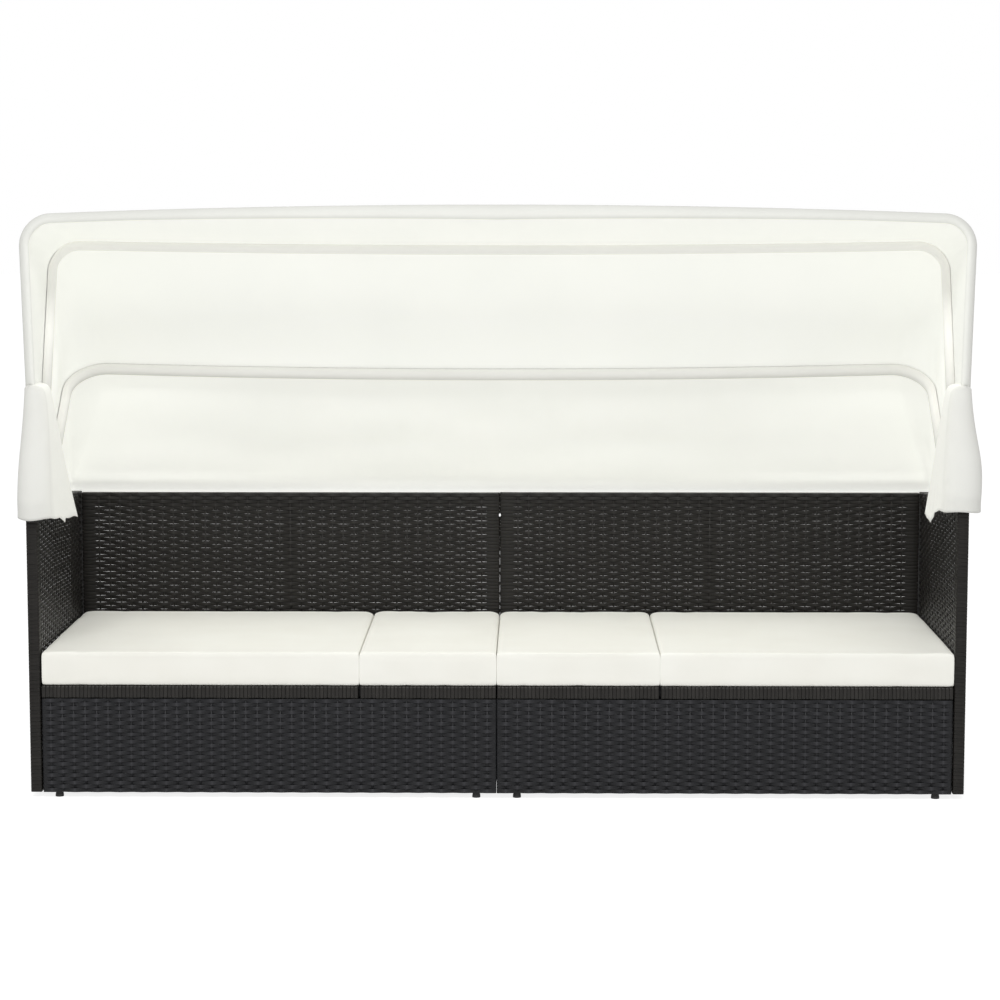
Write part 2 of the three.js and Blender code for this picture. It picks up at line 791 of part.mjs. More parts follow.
// The right half of a hoop from its leg to its middle, as X and distance pairs with their directions.
function hoopHalf(hoop, start) {
  const foot_x = legX(hoop);
  const x = foot_x + hoop.splay;
  const shoulder = hoop.reach - hoop.rise;
  const half = [];
  const leg_end = shoulder - hoop.corner;
  if (start < front_panel_start) half.push({ x: foot_x, distance: start, dx: 0, dd: 1 });
  const splay_start = Math.max(start, front_panel_start);
  for (let i = 0; i < leg_steps; i++) {
    const share = i / leg_steps;
    const distance = splay_start + (leg_end - splay_start) * share;
    half.push({ x: foot_x + hoop.splay * share, distance, dx: 0, dd: 1 });
  }
  for (let i = 0; i <= corner_steps; i++) {
    const angle = (Math.PI / 2) * (i / corner_steps);
    half.push({
      x: x - hoop.corner * (1 - Math.cos(angle)),
      distance: leg_end + hoop.corner * Math.sin(angle),
      dx: -Math.sin(angle),
      dd: Math.cos(angle),
    });
  }
  const inner = x - hoop.corner;
  for (let i = 1; i <= cross_steps; i++) {
    const share = 1 - i / cross_steps;
    const slope = (2 * hoop.rise * share) / inner;
    const length = Math.hypot(1, slope);
    const distance = shoulder + hoop.rise * (1 - share * share);
    half.push({ x: inner * share, distance, dx: -1 / length, dd: slope / length });
  }
  return half;
}

// Stations along a whole hoop from the right leg to the left one.
function hoopStations(hoop, start) {
  const right = hoopHalf(hoop, start);
  const left = right
    .slice(0, -1)
    .reverse()
    .map((s) => ({ x: -s.x, distance: s.distance, dx: s.dx, dd: -s.dd }));
  const angle = radians(hoop.angle);
  return [...right, ...left].map((s) => ({
    point: hoopPoint(hoop, s.x, s.distance),
    tangent: new THREE.Vector3(s.dx, s.dd * Math.sin(angle), s.dd * Math.cos(angle)).normalize(),
  }));
}

// The flattened end of a hoop leg, with the hole for the pivot bolt.
function hoopEye(hoop, sign) {
  const x = sign * legX(hoop);
  const span = grown([x, x], hoop_eye_thickness / 2);
  const round = bar("x", [0, 0], hoop_eye, span, eye_sides);
  const tab = block(span, [-hoop_radius + hoop_wall / 2, hoop_radius - hoop_wall / 2], [0, hoop_eye_length]);
  const hole = bar("x", [0, 0], pivot_bolt_radius + pivot_bolt_gap, grown(span, overrun));
  const flat = geometryOf(round.add(tab).subtract(hole));
  flat.rotateX(-radians(hoop.angle));
  flat.translate(0, pivot_y, pivot_z);
  return solid(flat);
}

const hoops = [
  ["front_hoop", front_hoop],
  ["middle_hoop", middle_hoop],
  ["back_hoop", back_hoop],
];
for (const [name, hoop] of hoops) {
  const tube = bent(hoopStations(hoop, hoop_tube_start), hoop_radius, hoop_wall, rod_sides);
  const hole_span = [-arm_outer - overrun, arm_outer + overrun];
  const hole = bar("x", [pivot_y, pivot_z], pivot_bolt_radius + pivot_bolt_gap, hole_span);
  place(name, joined([tube, hoopEye(hoop, 1), hoopEye(hoop, -1)]).subtract(hole), steel);
}

// Pivot brackets and bolts

for (const side of sides) {
  const ear_inside = legX(back_hoop) - hoop_radius - bracket_side_gap;
  const ear_outside = legX(front_hoop) + hoop_radius + bracket_side_gap;
  const base_z = arm_front_top + fit_gap;
  const y = grown([pivot_y, pivot_y], bracket_length / 2);
  const ears = [
    mirrored(side, ear_inside - bracket_plate, ear_inside),
    mirrored(side, ear_outside, ear_outside + bracket_plate),
  ];
  const shapes = [block(mirrored(side, ear_inside - bracket_plate, ear_outside + bracket_plate), y, [
    base_z,
    base_z + bracket_plate,
  ])];
  for (const x of ears) {
    shapes.push(bar("x", [pivot_y, pivot_z], bracket_ear, x, eye_sides));
    shapes.push(block(x, grown([pivot_y, pivot_y], bracket_ear), [base_z, pivot_z]));
  }
  const span = mirrored(side, ear_inside - overrun, ear_outside + overrun);
  const hole = bar("x", [pivot_y, pivot_z], pivot_bolt_radius + pivot_bolt_gap, span);
  place(`pivot_bracket_${side.name}`, joined(shapes).subtract(hole), steel);

  const inside = ear_inside - bracket_plate - fit_gap;
  const outside = ear_outside + bracket_plate + fit_gap;
  const profile = [
    [0, inside - pivot_head],
    [pivot_head_radius, inside - pivot_head],
    [pivot_head_radius, inside],
    [pivot_bolt_radius, inside],
    [pivot_bolt_radius, outside],
    [pivot_head_radius, outside],
    [pivot_head_radius, outside + pivot_head],
    [0, outside + pivot_head],
  ].map(([r, x]) => [r, side.sign * x]);
  const along = side.sign > 0 ? profile : profile.reverse();
  place(`pivot_bolt_${side.name}`, turned("x", along, [0, pivot_y, pivot_z]), zinc);
}

// Canopy cloth

// A closed thin sheet round a grid of points, half its thickness to each side.
function sheet(rows, thickness) {
  const height = rows.length;
  const width = rows[0].length;
  const at = (i, j) => rows[Math.min(height - 1, Math.max(0, i))][Math.min(width - 1, Math.max(0, j))];
  const positions = [];
  for (const offset of [thickness / 2, -thickness / 2]) {
    for (let i = 0; i < height; i++) {
      for (let j = 0; j < width; j++) {
        const down = at(i + 1, j).clone().sub(at(i - 1, j));
        const across = at(i, j + 1).clone().sub(at(i, j - 1));
        const normal = across.cross(down).normalize();
        const point = at(i, j).clone().addScaledVector(normal, offset);
        positions.push(point.x, point.y, point.z);
      }
    }
  }
  const layer = height * width;
  const index = [];
  const quad = (a, b, c, d) => index.push(a, b, c, a, c, d);
  for (let i = 0; i < height - 1; i++) {
    for (let j = 0; j < width - 1; j++) {
      const [a, b, c, d] = [i * width + j, i * width + j + 1, (i + 1) * width + j + 1, (i + 1) * width + j];
      quad(a, b, c, d);
      quad(layer + a, layer + d, layer + c, layer + b);
    }
  }
  for (let j = 0; j < width - 1; j++) {
    const end = (height - 1) * width;
    quad(j + 1, j, layer + j, layer + j + 1);
    quad(end + j, end + j + 1, layer + end + j + 1, layer + end + j);
  }
  for (let i = 0; i < height - 1; i++) {
    const [a, b] = [i * width, (i + 1) * width];
    quad(a, b, layer + b, layer + a);
    quad(b + width - 1, a + width - 1, layer + a + width - 1, layer + b + width - 1);
  }
  const geometry = new THREE.BufferGeometry();
  geometry.setAttribute("position", new THREE.Float32BufferAttribute(positions, 3));
  geometry.setIndex(index);
  const made = solid(geometry);
  if (made.volume() > 0) return made;
  geometry.setIndex(index.reverse());
  return solid(geometry);
}

const hood_middle = new THREE.Vector3(0, (seat_depth + pivot_y) / 2, pivot_z);

// The outward direction square to a hoop and to the cloth that runs on from it.
function outward(stations, i, chord) {
  const normal = stations[i].tangent.clone().cross(chord).normalize();
  const away = stations[i].point.clone().sub(hood_middle);
  if (normal.dot(away) < 0) normal.negate();
  return normal;
}

// For each station of two neighbouring curves, the run of the cloth between them and its outward normal.
function runs(from, to) {
  return from.map((station, i) => {
    const chord = to[i].point.clone().sub(station.point).normalize();
    return { chord, normal: outward(from, i, chord) };
  });
}

function between(a, b, share) {
  return a.clone().lerp(b, share).normalize();
}

const hoop_list = [front_hoop, middle_hoop, back_hoop];
const upper_lines = hoop_list.map((hoop) => hoopStations(hoop, front_panel_start));
const whole_lines = hoop_list.map((hoop) => hoopStations(hoop, rear_panel_start));

// The line that the rear cloth bends over: round the outside of the arms' tops and the back's top.
function rearLine(offset, drop) {
  const x = arm_outer + rear_edge_offset + offset;
  const back = arm_depth + rear_edge_offset + offset;
  const half = [];
  const leg_end = back - rear_edge_corner;
  const top = (y) => armTopAt(Math.min(y, arm_depth)) + rear_edge_lift - drop;
  const side_steps = leg_steps + 1;
  for (let i = 0; i < side_steps; i++) {
    const y = rear_edge_front + ((leg_end - rear_edge_front) * i) / side_steps;
    half.push({ x, y, tangent: [0, 1] });
  }
  for (let i = 0; i <= corner_steps; i++) {
    const angle = (Math.PI / 2) * (i / corner_steps);
    half.push({
      x: x - rear_edge_corner * (1 - Math.cos(angle)),
      y: leg_end + rear_edge_corner * Math.sin(angle),
      tangent: [-Math.sin(angle), Math.cos(angle)],
    });
  }
  for (let i = 1; i <= cross_steps; i++) {
    half.push({ x: (x - rear_edge_corner) * (1 - i / cross_steps), y: back, tangent: [-1, 0] });
  }
  const other = half
    .slice(0, -1)
    .reverse()
    .map((s) => ({ x: -s.x, y: s.y, tangent: [s.tangent[0], -s.tangent[1]] }));
  return [...half, ...other].map((s) => ({
    point: new THREE.Vector3(s.x, s.y, top(s.y)),
    tangent: new THREE.Vector3(s.tangent[0], s.tangent[1], 0),
  }));
}

const rear_edge = rearLine(0, 0);
const rear_hem = rearLine(rear_hem_offset, rear_hem_drop);

const upper_runs = [runs(upper_lines[0], upper_lines[1]), runs(upper_lines[1], upper_lines[2])];
const whole_runs = [
  runs(whole_lines[0], whole_lines[1]),
  runs(whole_lines[1], whole_lines[2]),
  runs(whole_lines[2], rear_edge),
];

// Points of the cloth from its seam over a tube to where its own run starts. Over a ridge the cloth turns
// round the tube; where the next panel rises again it stops short of it. Away is the way from the seam
// along the run.
function overTube(station, away, normal, other) {
  const halfway = between(other, normal, 0.5);
  const ridge = other.dot(away) < 0;
  const short = ridge ? 0 : cloth_radius * Math.tan(Math.acos(Math.min(1, halfway.dot(normal))));
  const points = [];
  for (let k = 0; k <= wrap_rows; k++) {
    const direction = ridge ? between(halfway, normal, k / wrap_rows) : normal;
    const point = station.point.clone().addScaledVector(direction, cloth_radius);
    points.push(point.addScaledVector(away, cloth_seam + short + k * wrap_step));
  }
  return points;
}

// Points between two places, with a shallow sag; the two places themselves are left out.
function sagging(start, end, normal, sag) {
  const points = [];
  for (let k = 1; k < chord_rows; k++) {
    const share = k / chord_rows;
    const point = start.clone().lerp(end, share);
    points.push(point.addScaledVector(normal, -sag * 4 * share * (1 - share)));
  }
  return points;
}

// Cloth between two hoops, seamed over each of them to the panels before and after it.
function hoopPanel(from, to, list, before, after) {
  return from.map((station, i) => {
    const { chord, normal } = list[i];
    const back = chord.clone().negate();
    const first = overTube(station, chord, normal, before ? before[i].normal : normal);
    const last = overTube(to[i], back, normal, after[i].normal).reverse();
    return [...first, ...sagging(first[wrap_rows], last[0], normal, cloth_sag), ...last];
  });
}

// The front panel also turns round the front tube, from above to below, as a loose sleeve.
function frontPanel() {
  const body = hoopPanel(upper_lines[0], upper_lines[1], upper_runs[0], null, upper_runs[1]);
  return body.map((points, i) => {
    const { chord, normal } = upper_runs[0][i];
    const turns = [];
    for (let k = turn_rows; k > 0; k--) {
      const angle = radians((front_wrap_degrees * k) / turn_rows);
      const upwards = normal.clone().multiplyScalar(Math.cos(angle));
      const direction = upwards.addScaledVector(chord, -Math.sin(angle));
      const point = upper_lines[0][i].point.clone().addScaledVector(direction, cloth_radius);
      point.z -= front_sleeve_drop * Math.max(0, -direction.z);
      turns.push(point);
    }
    return [...turns, ...points];
  });
}

function rearPanel() {
  return whole_lines[2].map((station, i) => {
    const { chord, normal } = whole_runs[2][i];
    const first = overTube(station, chord, normal, whole_runs[1][i].normal);
    const edge = rear_edge[i].point.clone();
    return [...first, ...sagging(first[wrap_rows], edge, normal, cloth_sag), edge, rear_hem[i].point.clone()];
  });
}

place("canopy_front_panel", sheet(frontPanel(), cloth), canopy_cloth);
place(
  "canopy_middle_panel",
  sheet(hoopPanel(whole_lines[1], whole_lines[2], whole_runs[1], whole_runs[0], whole_runs[2]), cloth),
  canopy_cloth,
);
place("canopy_rear_panel", sheet(rearPanel(), cloth), canopy_cloth);

// Side boots: a sheet folded round the front of each arm, with an outer and an inner layer.
function boot(side) {
  const mix = (a, b, share) => a + (b - a) * share;
  const rows = [];
  for (let i = 0; i <= boot_rows; i++) {
    const down = i / boot_rows;
    const inside = arm_outer - mix(boot_top_inset, boot_hem_inset, down ** boot_inside_power);
    const bulge = side.boot_bulge * Math.sin(Math.PI * down ** boot_bulge_power) ** 2;
    const outside = arm_outer + mix(boot_top_overhang, side.boot_flare, down ** boot_outside_power) + bulge;
    const front = mix(boot_top_front, boot_hem_front, Math.min(1, down * boot_front_speed));
    const back = mix(boot_top_back, boot_hem_back, down ** boot_back_power);
    const nose = (outside - inside) / 2;
    const middle = (outside + inside) / 2;
    const row = [];
    for (let j = 0; j <= boot_columns; j++) {
      const around = (2 * j) / boot_columns - 1;
      const layer = Math.sign(around);
      const along = Math.abs(around);
      const bend = Math.min(1, along / boot_nose_share);
      const sweep = (Math.PI / 2) * bend;
      const reach = Math.max(0, (along - boot_nose_share) / (1 - boot_nose_share));
      const fold = boot_fold * down * reach * Math.sin(boot_fold_count * Math.PI * reach + layer);
      const x = middle - layer * (nose * Math.sin(sweep) + fold);
      const nose_y = front + nose;
      const y = bend < 1 ? nose_y - nose * Math.cos(sweep) : mix(nose_y, back, reach);
      const z = mix(boot_top, side.boot_hem - boot_hem_fall * reach, down);
      row.push(new THREE.Vector3(side.sign * x, y, z));
    }
    rows.push(row);
  }
  return sheet(rows, cloth);
}

for (const side of sides) place(`canopy_boot_${side.name}`, boot(side), canopy_cloth);

// The whole stands on the floor with its origin under its middle.
const outline = new THREE.Box3().setFromObject(daybed, true);
const middle = outline.getCenter(new THREE.Vector3());
daybed.position.set(-middle.x, -middle.y, -outline.min.z);

export default daybed;
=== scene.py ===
"""Outdoor daybed with a folding canopy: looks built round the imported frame.

Metres, in the frame's own axes: X runs along the bench, Y from the front to the back, Z up.
Every new piece is a surface worked out with numpy: strands are a flat section carried along a path,
cloth is a grid of two directions, and the cushions are remeshed and blown up by a cloth simulation.
"""

import math

import bpy
import numpy as np
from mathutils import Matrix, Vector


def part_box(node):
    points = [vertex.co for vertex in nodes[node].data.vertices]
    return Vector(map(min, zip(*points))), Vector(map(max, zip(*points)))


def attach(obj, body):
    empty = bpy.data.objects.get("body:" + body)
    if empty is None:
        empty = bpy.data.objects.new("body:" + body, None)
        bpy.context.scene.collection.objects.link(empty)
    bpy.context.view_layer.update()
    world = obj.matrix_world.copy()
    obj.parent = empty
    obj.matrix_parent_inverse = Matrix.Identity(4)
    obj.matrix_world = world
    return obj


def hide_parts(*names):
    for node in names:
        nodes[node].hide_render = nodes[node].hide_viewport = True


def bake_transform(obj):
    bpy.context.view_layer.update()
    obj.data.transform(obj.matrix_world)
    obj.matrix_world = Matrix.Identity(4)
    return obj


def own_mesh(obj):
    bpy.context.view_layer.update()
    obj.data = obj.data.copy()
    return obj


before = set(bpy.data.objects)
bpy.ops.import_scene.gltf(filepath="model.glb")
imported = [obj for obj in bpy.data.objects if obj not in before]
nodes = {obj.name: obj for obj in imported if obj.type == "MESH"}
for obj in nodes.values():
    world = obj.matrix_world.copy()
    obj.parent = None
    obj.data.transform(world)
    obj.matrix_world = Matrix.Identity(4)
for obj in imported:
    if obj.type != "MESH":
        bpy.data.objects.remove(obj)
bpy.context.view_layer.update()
rng = np.random.default_rng(7)

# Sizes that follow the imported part
SHIFT_Y = -0.29275
ARM_OUTER = 0.985
ARM_INNER = 0.961
ARM_FRONT_TOP = 0.6164
ARM_LEVEL_Y = 0.2 + SHIFT_Y
ARM_REAR_Y = 0.592 + SHIFT_Y
BACK_TOP = 0.5859
PIVOT_Y = 0.105 + SHIFT_Y
PIVOT_Z = 0.6394

# Woven strands
ROW_PITCH = 0.008
RIB_PITCH = 0.0245
STRAND_THICK = 0.001
WAVE_DEPTH = 0.002
WAVE_HEIGHT = 0.00145
RIB_WIDTH = 0.0042
RIB_THICK = 0.0018
BORDER = 0.0275
LIP = 0.028
CORNER = 0.0035
RIB_STATION_SHARES = (-0.15, 0, 0.15, 0.5)
UNEVEN = 0.00006
STRAND_SEAT = STRAND_THICK / 2 + 0.0001
PLAIN_SLIT = 0.0004
EDGE_INSET = 0.0012
END_INSET = 0.002
ARM_ROWS = 76
BASE_ROWS = 25
SLIT_ROW = 15
TURNED_ROWS = 4
EDGE_STRANDS = 3
BASE_BORDER = 0.006
BASE_TURN = 0.006
BORDER_HIGHLIGHT = 0.35
BACK_ROWS = 47
BACK_SEAM = 0.0018
BASE_SEAM = 0.0013
SEAM_SLIT_HEIGHT = 0.536
SEAM_SHUT_ABOVE = 0.454
STRAND_MAP_WIDTH = 0.008
STRAND_MAP_STEP = 0.02

# Cushion shape
KEEP_SHARES = (0.12, 0.3)
CUSHION_GRID = 0.0064
CUSHION_PRESSURE = 4.0
CUSHION_SWELL = 0.004
TOUCHING = 0.0012
AT_ARM = 0.0017
SHOULDER_WIDTH = 0.02
SHOULDER_FRONT = 0.003
SHOULDER_DEEPER = 0.008
FOOT_ROUND = 0.01
FOOT_RISE = 0.003
RIM_WIDTH = 0.03
RIM_LIFT = 0.003

# Canopy cloth
CLOTH = 0.0012
TUBE_CLOTH = 0.0096
SLEEVE_ROUND = TUBE_CLOTH + 0.001
SLEEVE_HALF = {"middle": 0.009, "back": 0.011}
SLEEVE_HANG = 0.0108
SLEEVE_HANG_REACH = 0.8
PUCKERS = 60
PUCKER_DEPTH = 0.0005
PANEL_ROWS = 26
PANEL_SAG = 0.006
REAR_ROWS = 48
CLOTH_FROM = 0.12
REAR_FRONT = 0.225 + SHIFT_Y
REAR_OUT = 0.99
REAR_BACK = 0.597 + SHIFT_Y
REAR_CORNER = 0.008
REAR_LIFT = 0.004
HEM_DROP = 0.038
HEM_OUT = 0.0015
ROLL_DEPTH = 0.005
ROLL_FROM = 0.25
ROLL_FULL = 0.85


def placed(name, data):
    """A new object, linked to the scene."""
    obj = bpy.data.objects.new(name, data)
    bpy.context.scene.collection.objects.link(obj)
    return obj


# Camera


def make_camera():
    """The photograph's view: a long lens a little above the hood, turned slightly down and to the left."""
    data = bpy.data.cameras.new("photo_camera")
    camera = placed("photo_camera", data)
    camera.location = (0.079, -6.09375, 1.3144)
    camera.rotation_euler = (math.radians(83.32), 0, math.radians(0.7075))
    data.lens = 100.85
    data.sensor_width = 36
    data.clip_end = 200
    bpy.context.scene.camera = camera


make_camera()


# Mesh helpers


def set_places(mesh, points):
    mesh.vertices.foreach_set("co", points.astype(np.float32).ravel())


def point_mask(obj, name, values):
    """A mask from 0 to 1 on the mesh's points, for a material to read."""
    mask = obj.data.attributes.new(name, "FLOAT", "POINT")
    mask.data.foreach_set("value", values.astype(np.float32).ravel())


def mesh_object(name, points, faces, uv=None):
    """A mesh of quads from arrays: points (n, 3), faces (m, 4) and each point's place on the UV map."""
    mesh = bpy.data.meshes.new(name)
    mesh.vertices.add(len(points))
    set_places(mesh, points)
    mesh.loops.add(faces.size)
    mesh.loops.foreach_set("vertex_index", faces.astype(np.int32).ravel())
    mesh.polygons.add(len(faces))
    mesh.polygons.foreach_set("loop_start", np.arange(0, faces.size, 4, dtype=np.int32))
    mesh.polygons.foreach_set("loop_total", np.full(len(faces), 4, dtype=np.int32))
    mesh.update(calc_edges=True)
    if uv is not None:
        layer = mesh.uv_layers.new(name="Surface")
        layer.data.foreach_set("uv", uv[faces.ravel()].astype(np.float32).ravel())
    mesh.polygons.foreach_set("use_smooth", np.ones(len(faces), bool))
    return placed(name, mesh)


def facing_out(points, faces):
    """Turns all faces round if the closed surfaces together enclose a negative volume."""
    a, b, c, d = (points[faces[:, i]] for i in range(4))
    volume = (np.cross(a, b) * c).sum() + (np.cross(a, c) * d).sum()
    return faces if volume > 0 else faces[:, ::-1]


def unit(v):
    return v / np.maximum(np.linalg.norm(v, axis=-1, keepdims=True), 1e-12)


def smooth(x):
    """0 to 1 with level ends: 3 x squared less 2 x cubed."""
    x = np.clip(x, 0, 1)
    return x * x * (3 - 2 * x)


def side_by_side(*values):
    """Arrays and single numbers as the columns of one table."""
    return np.stack(np.broadcast_arrays(*values), -1).astype(float)


class Bundle:
    """Strands gathered into one mesh: points, faces and UV places, added family by family."""

    def __init__(self):
        self.points, self.faces, self.uv, self.raised, self.count, self.strands = [], [], [], [], 0, 0

    def add(self, path, outward, across, width, thick=STRAND_THICK, raised=0.0):
        """Carries a flat six-point section along each path: its edges lie half a width across, and its faces
        half a thickness outwards over the middle four fifths. path is (strands, stations, 3), and outward and
        across are one direction for all of it or one for each station. raised says, for each station, how far
        the strand's outer face stands up over a rib, from 0 to 1; the material paints a highlight there by
        it."""
        count, stations = path.shape[:2]
        outward, across = (np.broadcast_to(np.asarray(way, float), path.shape) for way in (outward, across))
        width = np.broadcast_to(np.asarray(width, float), (count, stations))[..., None, None]
        side = np.array([-0.5, -0.4, 0.4, 0.5, 0.4, -0.4])
        rise = np.array([0, 0.5, 0.5, 0, -0.5, -0.5]) * thick
        spread = across[:, :, None] * side[:, None] * width
        ring = path[:, :, None] + spread + outward[:, :, None] * rise[:, None]
        index = np.arange(count * stations * 6).reshape(count, stations, 6)
        turn = np.roll(index, -1, axis=2)
        sides = np.stack([index[:, :-1], index[:, 1:], turn[:, 1:], turn[:, :-1]], -1).reshape(-1, 4)
        first, last = index[:, 0], index[:, -1]
        caps = first[:, [0, 1, 2, 3]], first[:, [0, 3, 4, 5]], last[:, [3, 2, 1, 0]], last[:, [5, 4, 3, 0]]
        points = ring.reshape(-1, 3)
        faces = facing_out(points, np.concatenate([sides, *caps]))
        steps = np.linalg.norm(np.diff(path, axis=1), axis=2)
        run = np.concatenate([np.zeros((count, 1)), np.cumsum(steps, axis=1)], 1)
        number = (self.strands + np.arange(count))[:, None, None]
        uv = np.broadcast_arrays(run[:, :, None], number * STRAND_MAP_STEP + (side + 0.5) * STRAND_MAP_WIDTH)
        face = np.broadcast_to(np.asarray(raised, float), (count, stations))[..., None] * (rise > 0)
        self.raised.append(face.ravel())
        self.uv.append(np.stack(uv, -1).reshape(-1, 2))
        self.points.append(points)
        self.faces.append(faces + self.count)
        self.count += len(points)
        self.strands += count

    def build(self, name):
        obj = mesh_object(name, *(np.concatenate(family) for family in (self.points, self.faces, self.uv)))
        point_mask(obj, "raised", np.concatenate(self.raised))
        return obj


def finish_piece(obj, material, body, stands_for):
    obj.data.materials.append(material)
    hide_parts(stands_for)
    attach(obj, body)


# Materials


def feed(tree, made, **values):
    """Gives a node its settings and inputs, _ standing for a space: values, or the sockets that feed them."""
    for key, value in values.items():
        title = key.replace("_", " ")
        if title not in made.inputs:
            setattr(made, key, value)
        elif isinstance(value, bpy.types.NodeSocket):
            tree.links.new(value, made.inputs[title])
        else:
            made.inputs[title].default_value = value
    return made


def node(tree, kind, **values):
    return feed(tree, tree.nodes.new(kind), **values)


def new_group(name, inputs, outputs):
    """A node group with sockets of these names and kinds. Returns it, what comes in and its last node."""
    group = bpy.data.node_groups.new(name, "ShaderNodeTree")
    for way, sockets in (("INPUT", inputs), ("OUTPUT", outputs)):
        for title, kind in sockets.items():
            group.interface.new_socket(name=title, in_out=way, socket_type=f"NodeSocket{kind}")
    inside, outside = group.nodes.new("NodeGroupInput"), group.nodes.new("NodeGroupOutput")
    return group, inside.outputs, outside


def mottle_group():
    """Soft patches of light and dark: the middle part of a noise, spread out to 0 to 1, mixes the tones Low
    and High."""
    sockets = {"Vector": "Vector", "Scale": "Float", "Low": "Color", "High": "Color"}
    group, given, end = new_group("Mottle", sockets, {"Color": "Color"})
    place, scale = given["Vector"], given["Scale"]
    noise = node(group, "ShaderNodeTexNoise", Vector=place, Scale=scale, Detail=3.0, Roughness=0.55)
    shape = node(group, "ShaderNodeMapRange", Value=noise.outputs["Fac"], From_Min=0.3, From_Max=0.7)
    share = shape.outputs["Result"]
    mix = node(group, "ShaderNodeMix", data_type="RGBA", Factor=share, A=given["Low"], B=given["High"])
    feed(group, end, Color=mix.outputs["Result"])
    return group


def thread_group():
    """A plain weave of threads: at each place the higher of two sets of sine bands at right angles."""
    sockets = {"Vector": "Vector", "Threads per metre": "Float"}
    group, given, end = new_group("Threads", sockets, {"Height": "Float"})
    top = node(group, "ShaderNodeMath", operation="MAXIMUM")
    for number, direction in enumerate(("X", "Y")):
        wave = node(
            group, "ShaderNodeTexWave", wave_type="BANDS", bands_direction=direction, wave_profile="SIN",
            Vector=given["Vector"], Scale=given["Threads per metre"], Distortion=0.6, Detail=1.0,
        )
        group.links.new(wave.outputs["Fac"], top.inputs[number])
    feed(group, end, Height=top.outputs[0])
    return group


def strand_group():
    """A resin strand's surface: each strand has its own tone, fine lines run along it, and where it stands up
    over a rib its face gets a painted highlight, a lighter tone. Low and High are its tones, and Highlight is
    the painted highlight."""
    sockets = {"Vector": "Vector", "Raised": "Float", "Low": "Color", "High": "Color", "Highlight": "Color"}
    ends = {"Color": "Color", "Roughness": "Float", "Height": "Float"}
    group, given, end = new_group("Resin strand", sockets, ends)
    along, lines = (
        node(group, "ShaderNodeMapping", Vector=given["Vector"], Scale=scale).outputs["Vector"]
        for scale in ((9.0, 95.0, 1.0), (60.0, 2400.0, 1.0))
    )
    tones = {"Low": given["Low"], "High": given["High"]}
    tone = node(group, "ShaderNodeGroup", node_tree=MOTTLE, Vector=along, Scale=1.0, **tones).outputs["Color"]
    mixed = {"Factor": given["Raised"], "A": tone, "B": given["Highlight"]}
    highlit_tone = node(group, "ShaderNodeMix", data_type="RGBA", **mixed).outputs["Result"]
    grain = node(group, "ShaderNodeTexNoise", Vector=lines, Scale=1.0, Detail=2.0).outputs["Fac"]
    rough = node(group, "ShaderNodeMapRange", Value=grain, To_Min=0.34, To_Max=0.55).outputs["Result"]
    feed(group, end, Color=highlit_tone, Roughness=rough, Height=grain)
    return group


MOTTLE = mottle_group()
THREADS = thread_group()
STRAND = strand_group()


def material(name, **values):
    """A new material with these values on its shader. Returns it, its node tree and the shader."""
    made = bpy.data.materials.new(name)
    made.use_nodes = True
    return made, made.node_tree, feed(made.node_tree, made.node_tree.nodes["Principled BSDF"], **values)


def mottled(tree, shader, source, scale, low, high):
    """Base Color from the mottle group."""
    tones = {"Low": (*low, 1), "High": (*high, 1)}
    tone = node(tree, "ShaderNodeGroup", node_tree=MOTTLE, Vector=source, Scale=scale, **tones)
    feed(tree, shader, Base_Color=tone.outputs["Color"])


def bumped(tree, shader, height, strength, distance):
    bump = node(tree, "ShaderNodeBump", Height=height, Strength=strength, Distance=distance)
    feed(tree, shader, Normal=bump.outputs["Normal"])


def fabric_material(name, low, high, painted_glow, painted_glow_open, threads=620.0, bump=0.2, rough=0.8, on_surface=True):
    """Woven cloth: soft patches of tone, and threads as a fine bump, along the piece's own UV map or its
    place. painted_glow is painted light, an emission that the cloth gives everywhere in place of the daylight
    that comes through thin cloth, and painted_glow_open the same where the piece's own painted_light_mask is
    1:
    where daylight comes through a single layer that hangs free, or where a cushion faces up and its top is
    painted lighter."""
    sheen = {"Specular_IOR_Level": 0.25, "Sheen_Weight": 0.12, "Sheen_Roughness": 0.6}
    made, tree, shader = material(name, Roughness=rough, Emission_Strength=1.0, **sheen)
    # Painted light: the emission colour rises from painted_glow to painted_glow_open along the mask.
    mask = node(tree, "ShaderNodeAttribute", attribute_name="painted_light_mask").outputs["Fac"]
    dull, bright = ((tone, tone, tone * 0.95, 1) for tone in (painted_glow, painted_glow_open))
    through = node(tree, "ShaderNodeMix", data_type="RGBA", Factor=mask, A=dull, B=bright)
    feed(tree, shader, Emission_Color=through.outputs["Result"])
    if on_surface:
        source = node(tree, "ShaderNodeUVMap", uv_map="Surface").outputs["UV"]
    else:
        source = node(tree, "ShaderNodeTexCoord").outputs["Object"]
    mottled(tree, shader, source, 5.0, low, high)
    weave = node(tree, "ShaderNodeGroup", node_tree=THREADS, Vector=source, Threads_per_metre=threads)
    bumped(tree, shader, weave.outputs["Height"], bump, 0.0004)
    return made


def strand_material(name, low, high, highlight_tone):
    """Flat resin strands with a soft gloss, read along each strand's own UV map and its raised mask, which
    places a painted highlight over the ribs.
    """
    made, tree, shader = material(name, Roughness=0.42, Specular_IOR_Level=0.25)
    place = node(tree, "ShaderNodeUVMap", uv_map="Surface").outputs["UV"]
    raised = node(tree, "ShaderNodeAttribute", attribute_name="raised").outputs["Fac"]
    tones = {"Low": (*low, 1), "High": (*high, 1), "Highlight": (*highlight_tone, 1)}
    surface = node(tree, "ShaderNodeGroup", node_tree=STRAND, Vector=place, Raised=raised, **tones).outputs
    feed(tree, shader, Base_Color=surface["Color"], Roughness=surface["Roughness"])
    bumped(tree, shader, surface["Height"], 0.35, 0.0003)
    return made


